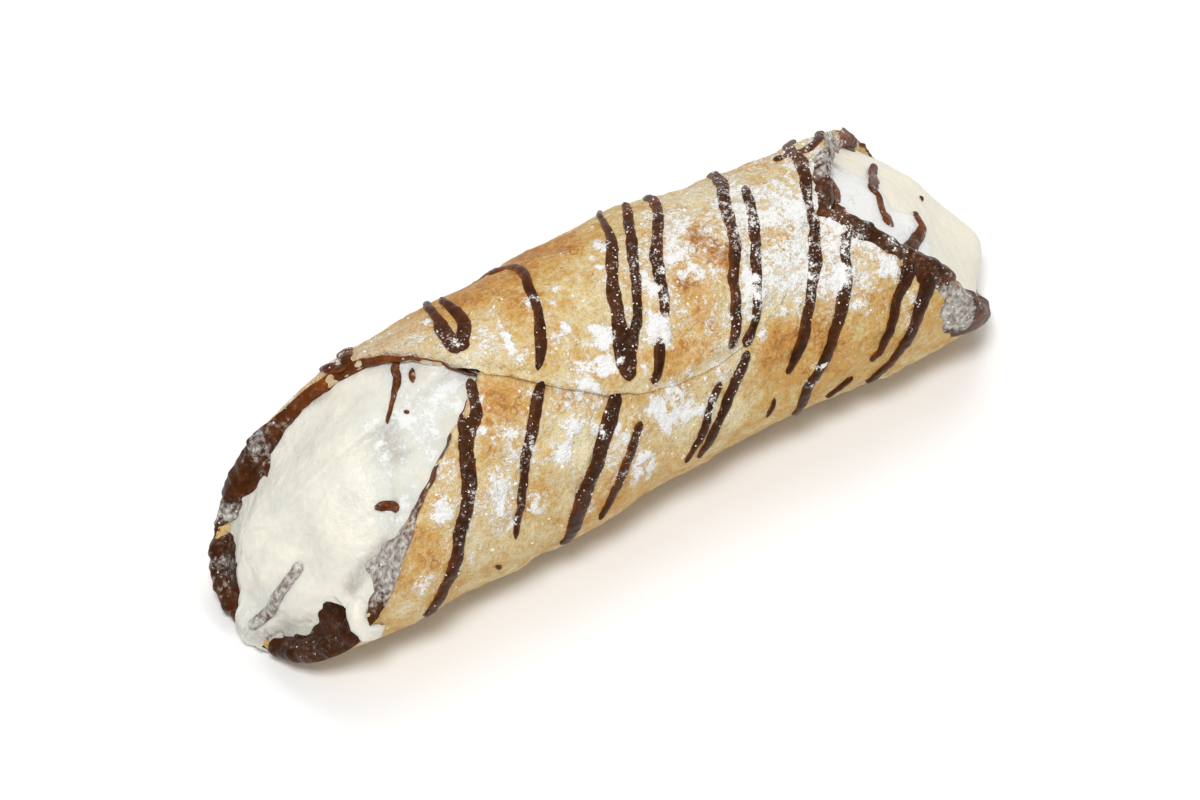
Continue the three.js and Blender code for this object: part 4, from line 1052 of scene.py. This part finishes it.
creamFaces = {
    left: {
        "setBack": 1.2, "bulge": 3.5, "rings": 110,
        "lumps": [(2, 4, 7, 2.6), (6, -8, 5, 1.8), (-3, -6, 4, 1.2), (-8, 9, 4, -1.2), (9, 11, 4, -1.2)],
        "detail": [(4.5, 9.1, 2.2, 1.0), (5.5, 4.6, 2.0, 1.0), (5.5, 1.2, 1.5, -0.9), (10.2, 2.9, 2.2, 1.0),
                   (1.5, 7, 2.0, 0.5), (0, 2, 2.5, 0.6), (-5, 3, 2.4, 0.5), (13, -3, 2.2, 1.0),
                   (8.5, -2.2, 1.3, -0.8), (3, -5, 2.2, 0.8), (8, -8, 2.4, 0.9), (-2, -12, 2.0, 0.7),
                   (12, 5.6, 1.6, -0.8), (9, 13.5, 2.2, 1.0), (5.5, 14, 1.6, 0.7), (-7, -4, 2.0, -0.6),
                   (-1, 12, 2.4, 0.5), (15, 1.5, 1.6, 0.9), (3.5, -13.5, 2.4, 0.9), (11, -10, 2.0, 0.8)],
        "furrow": ([(-4.4, 19.5), (-3.0, 15.6), (0, 14.6), (2.4, 12.6), (4.6, 11), (7.2, 10.2), (9.6, 8.6),
                    (12.4, 6.4), (13.6, 3)], 0.8, 1.1),
    },
    right: {
        "setBack": 0.6, "bulge": 5.4, "rings": 90,
        "lumps": [(3, -3, 7, 2.2), (6.4, -11.4, 4.6, 4.8), (-5, 6, 5, -1.5), (3.6, 1.0, 4, -1.9),
                  (8, -3.6, 4.6, -3.2), (-3.4, -3, 4, -0.6)],
        "detail": [(3.4, 2, 2.2, 0.7), (8, -3, 2.4, 0.7), (-3, -1, 3, 0.6), (9.5, 6, 2.0, 0.7), (2, 12, 2.2, 0.8),
                   (6, 9, 1.6, -0.6), (10, -8, 2.4, 0.6), (-6, 2, 2.0, 0.6)],
        "furrow": ([(-6, 4), (-1, 8.6), (4, 8.4), (8.6, 8.2), (12, 6)], 0.9, 0.7),
    },
}
cream = {"around": 300, "sideRows": 16, "wrinkle": 0.22, "pastRim": 1.5,
         "islands": {left: (0.25, 0.75), right: (0.75, 0.75)}, "islandRadius": 0.23}


def toLine(across, up, waypoints):
    nearest = np.full(np.broadcast(across, up).shape, 1e3)
    for (x0, y0), (x1, y1) in zip(waypoints, waypoints[1:]):
        dx, dy = x1 - x0, y1 - y0
        share = np.clip(((across - x0) * dx + (up - y0) * dy) / (dx * dx + dy * dy), 0, 1)
        nearest = np.minimum(nearest, np.hypot(across - x0 - share * dx, up - y0 - share * dy))
    return nearest


def creamX(side, share, angle):
    face = creamFaces[side]
    fromKeel = np.radians(angle - sheet["keel"])
    down = np.clip(share * np.cos(fromKeel), -1, 1)
    halfChord = np.sqrt(np.maximum(1 - down * down, 1e-6))
    over = np.clip(share * np.sin(fromKeel) / halfChord, -1, 1)
    reach = np.degrees(np.arccos(down))
    low, high = mouthX(side, sheet["keel"] - reach, 0.0), mouthX(side, sheet["keel"] + reach, 0.0)
    ruled = low + (high - low) * (over + 1) / 2
    radius = share * throat(side, mouthX(side, angle, 0.0) - side, angle)
    across, up = radius * np.sin(np.radians(angle)), radius * np.cos(np.radians(angle))
    swell = face["bulge"] * (1 - share * share)
    swell = swell + sum(h * bell(np.hypot(across - a, up - u), size) for a, u, size, h in face["lumps"])
    fine = sum(h * bell(np.hypot(across - a, up - u), size) for a, u, size, h in face["detail"])
    waypoints, width, depth = face["furrow"]
    flat = np.stack([across, up, 0 * up + 50 * side], -1)
    fine = fine - depth * bell(toLine(across, up, waypoints) + 0.4 * lumpy(flat, 3, 201, 2), width)
    fine = fine + cream["wrinkle"] * lumpy(flat, 4.2, 211, 3) + 0.1 * lumpy(flat, 1.3, 221, 2)
    rimFade = 1 - share**6
    return ruled + side * (swell * rimFade - face["setBack"] + fine * (0.35 + 0.65 * rimFade))


def creamAt(side, share, angle):  # x and radius of the cream's face, with what swells over the cut edge
    over = roundStops(overflow[side], angle)
    over = np.clip(over * (1 + 0.25 * lumpy(roundMouth(side, angle), 2.5, 225, 2)), 0, 1.5)
    x = creamX(side, share, angle)
    radius = share * throat(side, x, angle) + 2.6 * over * eased(share, 0.88, 1)
    return x + side * over * (2.4 * eased(share, 0.7, 0.93) - 1.3 * eased(share, 0.95, 1)), radius


def creamFaceRows(side, angle):  # rings of points from the middle out, and their places on the texture
    rows, uvs = [], []
    a = np.radians(angle)
    across, up = cream["islands"][side]
    for k in range(1, creamFaces[side]["rings"] + 1):
        share = k / creamFaces[side]["rings"]
        x, radius = creamAt(side, share, angle)
        rows.append(at(x, angle, radius))
        size = cream["islandRadius"] * share
        uvs.append(np.stack([across + size * np.sin(a), up + size * np.cos(a)], -1))
    return rows, uvs


def makeCream():
    around = cream["around"]
    angle = sheet["keel"] + 360 * np.arange(around) / around
    leftRows, leftUvs = creamFaceRows(left, angle)
    rightRows, rightUvs = creamFaceRows(right, angle)
    rightRows, rightUvs = rightRows[::-1], rightUvs[::-1]
    sideRows = []
    low = mouthX(left, angle) + (rimSizes(left, angle)[0] + cream["pastRim"])
    high = mouthX(right, angle) - (rimSizes(right, angle)[0] + cream["pastRim"])
    for k in range(cream["sideRows"] + 1):
        x = low + (high - low) * k / cream["sideRows"]
        sideRows.append(at(x, angle, innerFace(x, angle) - 0.1))
    allRows = leftRows + sideRows + rightRows
    poles = [at(creamX(side, 0.0, 0.0), 0.0, 0.0)[None] for side in (left, right)]
    points = np.concatenate([*allRows, *poles])
    count = len(allRows)
    index = np.arange(count * around).reshape(count, around)
    quads = ringQuads(index[:-1], index[1:])
    leftPole, rightPole = count * around, count * around + 1
    faces = quads.tolist()
    faces += [[leftPole, int(b), int(a)] for a, b in zip(index[0], np.roll(index[0], -1))]
    faces += [[rightPole, int(a), int(b)] for a, b in zip(index[-1], np.roll(index[-1], -1))]
    made = meshObject("creamFilling", points, faces, finishes["cream"])
    # Islands: the two faces from outside, and the sides unrolled.
    corner = np.zeros((len(quads), 4, 2))
    rowOf = np.repeat(np.arange(count - 1), around)
    columnOf = np.tile(np.arange(around), count - 1)
    for k, (dr, dc) in enumerate(cornerSteps):
        r, c = rowOf + dr, columnOf + dc
        sideUv = np.stack([c / around, 0.02 + 0.44 * (r - len(leftRows)) / cream["sideRows"]], -1)
        onLeft, onRight = rowOf < len(leftRows) - 1, rowOf >= count - len(rightRows)
        both = np.concatenate([leftUvs, np.zeros((len(sideRows), around, 2)), rightUvs])
        faceUv = both[np.clip(r, 0, count - 1), c % around]
        corner[:, k] = np.where((onLeft | onRight)[:, None], faceUv, sideUv)
    uv = corner.reshape(-1, 2).tolist()
    for side, row in ((left, leftUvs[0]), (right, rightUvs[-1])):
        for k in range(around):
            pair = (row[(k + 1) % around], row[k]) if side == left else (row[k], row[(k + 1) % around])
            uv += [cream["islands"][side], *pair]
    setUv(made.data, uv)
    return made


# Fields on the chocolate of the mouths: noise of a strength, size and seed, and spots at angle, width and amount

rimFields = {
    left: {
        "sugar": {"base": 0.08, "noise": (0.12, 4, 161), "top": 0.9,
                  "spots": [(-122, 7, 0.2), (-152, 8, 0.22), (84, 7, 0.1), (35, 20, 0.1)]},
        "melted": {"base": 0, "noise": (0.15, 2.4, 165), "top": 1,
                   "spots": [(-122, 6, 0.4), (-152, 7, 0.4), (-78, 9, 0.4), (80, 8, 0.75), (64, 8, 0.5)]},
        "thin": {"base": 0.02, "noise": (0.12, 5, 171), "spots": [(-42, 20, 0.36), (14, 30, 0.3), (72, 14, 0.3)]},
    },
    right: {
        "sugar": {"base": 0.14, "noise": (0.18, 2.4, 181), "top": 0.75,
                  "spots": [(92, 12, 0.14), (120, 9, -0.3), (-12, 12, 0.16), (-56, 15, 0.3), (40, 24, 0.16)]},
        "melted": {"base": 0, "noise": (0.3, 2.2, 185), "top": 1,
                   "spots": [(92, 11, 0.95), (116, 9, -0.6), (-20, 16, 0.8), (-60, 16, 0.5)]},
        "thin": {"base": 0.14, "noise": (0.2, 4, 191), "spots": [(-55, 26, 0.24)]},
    },
}


def rimField(side, name, points, angle):
    field = rimFields[side][name]
    strength, size, seed = field["noise"]
    value = field["base"] + strength * lumpy(points, size, seed, 2)
    return sum((amount * bell(turned(angle - place), width) for place, width, amount in field["spots"]), value)


def dippedMouth(side, name):
    made, x, angle = makeRim(side, name)
    points = pointsOf(made.data)
    values = {field: rimField(side, field, points, angle) for field in rimFields[side]}
    if side == left:  # its back is redder on the outside
        values["thin"] = values["thin"] + 0.22 * eased(fromAxis(points), 17.5, 20) * bell(turned(angle + 100), 50)
    else:  # no sugar melted on the part that reaches furthest
        values["melted"] = values["melted"] * (1 - eased(x, 54.5, 56.5))
    for field, value in values.items():
        top = rimFields[side][field].get("top")
        setField(made.data, field, np.clip(value, 0, top) if top else value)
    return made


print("dipping the mouths")
rimLeft = dippedMouth(left, "chocolateRimLeft")
rimRight = dippedMouth(right, "chocolateRimRight")


print("piping the cream")
creamFilling = makeCream()
creamPoints = pointsOf(creamFilling.data)
off = creamPoints - sheet["axis"]
across, up = -off[:, 1], off[:, 2]
onLeft, onRight = off[:, 0] < -20, off[:, 0] > 30
flatNoise = lumpy(creamPoints, 3, 231, 3)
lobe = eased(across * 0.55 + up - 12.5 + 1.2 * flatNoise, -0.8, 1.0) * onLeft  # the sugared lobe beside the furrow
low = 0.8 * bell(np.hypot(across - 3, up + 15.5), 3.5) * onLeft
crown = eased(up - 9.5 + 0.35 * across + 1.5 * flatNoise, -1.5, 1.5) * onRight
bare = 0.5 * lumpy(creamPoints, 2.4, 233, 2) + 0.16 * bell(np.hypot(across - 1.2, up - 15), 1.4) * onLeft
frost = (0.24 + bare) * lobe + low * 0.4 + (0.75 + 0.5 * bare) * crown + 0.08
setField(creamFilling.data, "sugar", np.clip(frost, 0, 1))
rich = 0.32 + 0.1 * flatNoise - 0.15 * lobe - 0.1 * low + onRight * (0.36 - 0.3 * crown)
setField(creamFilling.data, "rich", rich)


creamStainsAndShade = {  # where cocoa bled into the cream, and painted shade along its furrow and creases: waypoints across and up, width and strength
    left: [
        ([(2.4, 12.6), (4.6, 11.9), (7, 11.4)], 1.2, 0.5), ([(14.6, 4), (15.6, -1)], 1.3, 0.5),
        ([(1, -16.4), (5, -16), (9, -14.6)], 1.6, 0.55), ([(9, -11.5), (14, -7.5)], 1.2, 0.35),
        ([(-14, -4), (-11.5, -8), (-9, -11)], 1.0, 0.45), ([(-12, 8.5), (-10.5, 10)], 1.0, 0.5),
    ],
    right: [
        ([(-6, 12), (-2, 14), (1, 16)], 1.3, 0.75), ([(8.6, 10.4), (11, 9.4)], 1.4, 0.5),
        ([(10, 7), (14, 9)], 1.2, 0.45), ([(5, 14.6), (3, 16)], 1.2, 0.6),
    ],
}


def stainedAndShaded(side):
    return sum(amount * bell(toLine(across, up, waypoints), width) for waypoints, width, amount in creamStainsAndShade[side])


# the stain field holds bled cocoa and painted shade in the furrow and creases
stainAndShade = onLeft * stainedAndShaded(left) + onRight * stainedAndShaded(right)
setField(creamFilling.data, "stainAndShade", np.clip(stainAndShade, 0, 1))


# A tongue of cream that runs over the left rim and hangs outside
drips = [  # x, angle, radius, half width
    [(-54.4, 96, 17.6, 1.4), (-55.8, 99, 19.2, 1.9), (-56.4, 101.5, 20.6, 1.6), (-55.9, 103.5, 21.6, 1.5),
     (-55.2, 106, 22.0, 2.0), (-54.2, 109, 22.1, 2.0), (-53.4, 111.5, 22.1, 1.2)],
]
drip = {"step": 0.4, "height": 0.65, "sides": 32, "ragged": 0.6, "taper": (0.05, 1.2, 0.02),
        "lean": np.array([-0.75, -0.4, 0.4]), "overFrom": 17, "overTo": 21}  # it turns over the edge at these radii


def dripRun(waypoints):
    path, travelled = smoothPath(waypoints, drip["step"])
    points = at(path[:, 0], path[:, 1], path[:, 2])
    tilt = eased(path[:, 2], drip["overFrom"], drip["overTo"])[:, None]
    outward = outwardAt(path[:, 1]) * tilt + drip["lean"] * (1 - tilt)
    outward /= np.linalg.norm(outward, axis=1, keepdims=True)
    return {"points": points, "outward": outward, "half": path[:, 3] * tapered(travelled, *drip["taper"])}


creamDrip = piped("creamDrip", [dripRun(waypoints) for waypoints in drips], drip, "cream")
for field, value in (("sugar", 0.15), ("rich", 0.3), ("stainAndShade", 0.08)):
    setField(creamDrip.data, field, np.full(len(creamDrip.data.vertices), value))


# Bits and strands of chocolate on the cream: places across and up, with full widths
creamBits = {
    left: [
        [(10.1, 6.8, 1.5), (11.5, 7.3, 1.6), (12.9, 7.8, 1.5)],
        [(7.0, -2.0, 1.8), (7.1, -5, 1.8), (6.5, -9, 1.9), (5.4, -12.4, 1.9), (4.6, -14.4, 1.7)],
        [(8.4, -14.8, 1.9), (7.4, -15.6, 2.2), (6.4, -16.2, 1.8)],
        [(-7.4, 17.4, 1.2), (-6.0, 16.8, 1.4), (-4.6, 16.1, 1.6), (-3.4, 15.8, 1.7), (-2.2, 15.5, 1.5),
         (-1.3, 15.1, 1.0), (-0.2, 14.7, 0.8), (0.9, 14.1, 0.7), (1.7, 13.0, 0.6)],
        [(-2.6, 16.9, 0.6), (-1.6, 16.7, 1.1), (-0.4, 16.5, 0.6)],
        [(1.9, 14.1, 0.9), (2.5, 14.0, 0.9)],
    ],
    right: [
        [(-7.4, 3.4, 1.5), (-3.4, 6.1, 2.2), (0, 9.4, 2.1), (1.7, 10.9, 1.6), (3.6, 10.5, 1.3), (6.1, 10.3, 1.6),
         (7.4, 9.9, 2.6), (8.6, 10.2, 2.6)],
        [(5.7, 5.8, 1.0), (8.0, 6.0, 1.6), (9.9, 6.1, 1.8), (11.5, 7.1, 2.2), (13.2, 8.1, 2.6), (14.8, 9.8, 3.0)],
        [(0.1, 1.0, 0.6), (0.6, 0.9, 0.8), (1.1, 0.9, 0.5)],
        [(-1.6, 14.4, 1.6), (1.2, 14.4, 2.2), (3.6, 14.6, 1.8)],
    ],
}
bit = {"step": 0.35, "height": 0.45, "sides": 12, "ragged": 0.5, "taper": (0.08, 0.5, 0.05), "raised": 0.15,
       "lean": {left: np.array([-0.8, -0.2, 0.56]), right: np.array([0.75, -0.25, 0.6])}}


def bitRun(side, waypoints):
    given = np.array(waypoints, float)
    given[:, :2] /= [1, mmPerDegree]
    path, travelled = smoothPath(given, bit["step"])
    across, up = path[:, 0], path[:, 1] * mmPerDegree
    angle = np.degrees(np.arctan2(across, up))
    radius = np.hypot(across, up)
    share = radius / throat(side, mouthX(side, angle, 0.0) - side, angle)
    points = at(creamAt(side, np.minimum(share, 1.0), angle)[0] + side * bit["raised"], angle, radius)
    lean = bit["lean"][side]
    outward = np.tile(lean / np.linalg.norm(lean), (len(points), 1))
    return {"points": points, "outward": outward, "half": path[:, 2] / 2 * tapered(travelled, *bit["taper"])}


bitRuns = [bitRun(side, waypoints) for side in (left, right) for waypoints in creamBits[side]]
creamChocolate = piped("creamChocolate", bitRuns, bit, "rim")
bitPoints = pointsOf(creamChocolate.data)
longBit = (bitPoints[:, 0] < 0) & (bitPoints[:, 2] < 20)  # low in the left mouth
setField(creamChocolate.data, "sugar", np.clip(0.22 + 0.2 * lumpy(bitPoints, 3, 241, 2), 0, 1))
setField(creamChocolate.data, "melted", np.clip(0.1 + 0.6 * longBit + 0.2 * lumpy(bitPoints, 2, 245, 2), 0, 1))
setField(creamChocolate.data, "thin", 0.3 + 0.2 * lumpy(bitPoints, 3, 251, 2))


# Loose grains and crumbs of sugar, strewn over a piece where its sugar field is high

crumb = {"small": (0.45, 0.45, 0.3), "large": (1.25, 1.25, 0.8), "rare": 2.4, "uneven": 1.3}


def crumbTree():
    tree, given = geometryTree("sugarCrumbs", {
        "Geometry": "Geometry", "Density": "Float", "Grain": "Float", "Seed": "Int", "Finish": "Material"})
    where = addNode(tree, "GeometryNodeInputNamedAttribute", {"Name": "crumbs"}, data_type="FLOAT")
    density = addNode(tree, "ShaderNodeMath", (where.outputs["Attribute"], given["Density"]), operation="MULTIPLY")
    strew = addNode(tree, "GeometryNodeDistributePointsOnFaces", {
        "Mesh": given["Geometry"], "Density": density.outputs[0], "Seed": given["Seed"]}, distribute_method="RANDOM")
    grain = addNode(tree, "GeometryNodeMeshIcoSphere", {"Radius": given["Grain"], "Subdivisions": 1})
    squash = addNode(tree, "FunctionNodeRandomValue", {
        0: crumb["small"], 1: crumb["large"], "Seed": given["Seed"]}, data_type="FLOAT_VECTOR")
    power = addNode(tree, "FunctionNodeRandomValue", {2: 0.0, 3: 1.0, "Seed": 7}, data_type="FLOAT")
    power = addNode(tree, "ShaderNodeMath", (power.outputs[1], crumb["rare"]), operation="POWER")
    power = addNode(tree, "ShaderNodeMath", (power.outputs[0], 1.0, 0.5), operation="MULTIPLY_ADD")
    scale = addNode(tree, "ShaderNodeVectorMath", {
        0: squash.outputs[0], "Scale": power.outputs[0]}, operation="SCALE")
    placed = addNode(tree, "GeometryNodeInstanceOnPoints", {
        "Points": strew.outputs["Points"], "Instance": grain.outputs[0], "Rotation": strew.outputs["Rotation"],
        "Scale": scale.outputs[0]})
    real = addNode(tree, "GeometryNodeRealizeInstances", {0: placed.outputs[0]})
    place = addNode(tree, "GeometryNodeInputPosition").outputs[0]
    noise = addNode(tree, "ShaderNodeTexNoise", {"Vector": place, "Scale": 2600.0, "Detail": 1.0})
    swing = addNode(tree, "ShaderNodeVectorMath", (noise.outputs["Color"], [0.5] * 3), operation="SUBTRACT")
    reach = addNode(tree, "ShaderNodeMath", (given["Grain"], crumb["uneven"]), operation="MULTIPLY")
    offset = addNode(tree, "ShaderNodeVectorMath", {
        0: swing.outputs[0], "Scale": reach.outputs[0]}, operation="SCALE").outputs[0]
    moved = addNode(tree, "GeometryNodeSetPosition", {"Geometry": real.outputs[0], "Offset": offset})
    dressed = addNode(tree, "GeometryNodeSetMaterial", {"Geometry": moved.outputs[0], "Material": given["Finish"]})
    addNode(tree, "NodeGroupOutput", {0: dressed.outputs[0]})
    return tree


print("dusting the sugar")
sugarCrumbs = crumbTree()


def crumbsOn(name, piece, crumbs, density, grain, seed):
    source = piece.data.copy()
    setField(source, "crumbs", crumbs)
    made = grown(name, source, sugarCrumbs, {
        "Density": density, "Grain": grain * mm, "Seed": seed, "Finish": finishes["sugar"]})
    print(" ", name, len(made.data.polygons), "faces")
    return made


dustedPieces = [  # name, piece, the sugar field that crumbs start at, crumbs per square metre, grain, seed
    ("sugarOnPastry", pastryShell, 0.22, 2.6e6, 0.21, 3),
    ("sugarOnDrizzle", drizzled, 0.12, 2.2e6, 0.15, 5),
    ("sugarOnRimLeft", rimLeft, 0.1, 2e6, 0.16, 7),
    ("sugarOnRimRight", rimRight, 0.1, 2e6, 0.17, 9),
    ("sugarOnCream", creamFilling, 0.3, 1.2e6, 0.2, 11),
]
sugarPieces = []
for name, piece, start, density, grain, seed in dustedPieces:
    depth = fieldOf(piece.data, "sugar")
    crumbs = np.clip(depth - start, 0, 1)
    if piece is pastryShell:  # crumbs gather on its heaps, and strays lie all over it
        crumbs = crumbs**1.5 + 0.035 * eased(depth, 0.02, 0.15)
    if piece is creamFilling:  # none inside the tube
        crumbs = crumbs * (onLeft | onRight)
    sugarPieces.append(crumbsOn(name, piece, crumbs, density, grain, seed))


# Which piece stands for which node

for piece, node, slot in (
    (pastryShell, "shell", "fried_pastry"),
    (drizzled, "shell", "chocolate"),
    (rimLeft, "chocolate_left", "chocolate"),
    (rimRight, "chocolate_right", "chocolate"),
    (creamFilling, "cream", "cream"),
    (creamDrip, "cream", "cream"),
    (creamChocolate, "cream", "chocolate"),
):
    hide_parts(node)
    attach(piece, "root")
for piece in sugarPieces:
    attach(piece, "root")


# Floor, light and camera

def paleFloor():
    material, tree = newMaterial("paleFloor")
    places = addNode(tree, "ShaderNodeTexCoord").outputs["Object"]
    cloud = addNode(tree, "ShaderNodeTexNoise", {"Vector": places, "Scale": 3.0, "Detail": 2.0}).outputs["Fac"]
    pale = addNode(tree, "ShaderNodeValToRGB", {0: cloud}, [(0.3, "#f6f6f6"), (0.7, "#f8f8f8")])
    shader = addNode(tree, "ShaderNodeBsdfPrincipled", {
        "Base Color": pale.outputs[0], "Roughness": 0.9, "Specular IOR Level": 0.2})
    addNode(tree, "ShaderNodeOutputMaterial", {0: shader.outputs[0]})
    return material


floorSize = 4000
floorPoints = np.array([(-1, -1, 0), (1, -1, 0), (1, 1, 0), (-1, 1, 0)]) * floorSize
floor = meshObject("floor", floorPoints, [[0, 1, 2, 3]], paleFloor())

world = bpy.data.worlds.new("studio")
bpy.context.scene.world = world
world.use_nodes = True
background = world.node_tree.nodes["Background"].inputs
background["Color"].default_value = (1.0, 1.0, 1.0, 1.0)
background["Strength"].default_value = 0.45

softBoxes = {  # place in millimetres, size, power in watts
    "key": {"place": (-300, -330, 970), "size": 260, "power": 7.0},
    "back": {"place": (350, 300, 900), "size": 500, "power": 2.4},
}
for name, box in softBoxes.items():
    light = bpy.data.lights.new(name, "AREA")
    light.size = box["size"] * mm
    light.energy = box["power"]
    lamp = bpy.data.objects.new(name, light)
    lamp.location = Vector(box["place"]) * mm
    lamp.rotation_euler = (-lamp.location).to_track_quat("-Z", "Y").to_euler()
    bpy.context.scene.collection.objects.link(lamp)

view = {"turn": 33.43, "height": 50.0, "distance": 771, "lens": 149.2, "aimBelow": 6.0}
turn, rise = math.radians(view["turn"]), math.radians(view["height"])
back = Vector((-math.sin(turn) * math.cos(rise), -math.cos(turn) * math.cos(rise), math.sin(rise)))
upward = Vector((math.sin(turn) * math.sin(rise), math.cos(turn) * math.sin(rise), math.cos(rise)))
axisPoint = Vector(sheet["axis"])
camera = bpy.data.cameras.new("camera")
camera.lens = view["lens"]
camera.sensor_width = 36
cameraObject = bpy.data.objects.new("camera", camera)
cameraObject.location = (axisPoint + back * view["distance"]) * mm
aim = axisPoint - upward * view["aimBelow"]
cameraObject.rotation_euler = (aim * mm - cameraObject.location).to_track_quat("-Z", "Y").to_euler()
bpy.context.scene.collection.objects.link(cameraObject)
bpy.context.scene.camera = cameraObject
bpy.context.scene.view_settings.view_transform = "Standard"
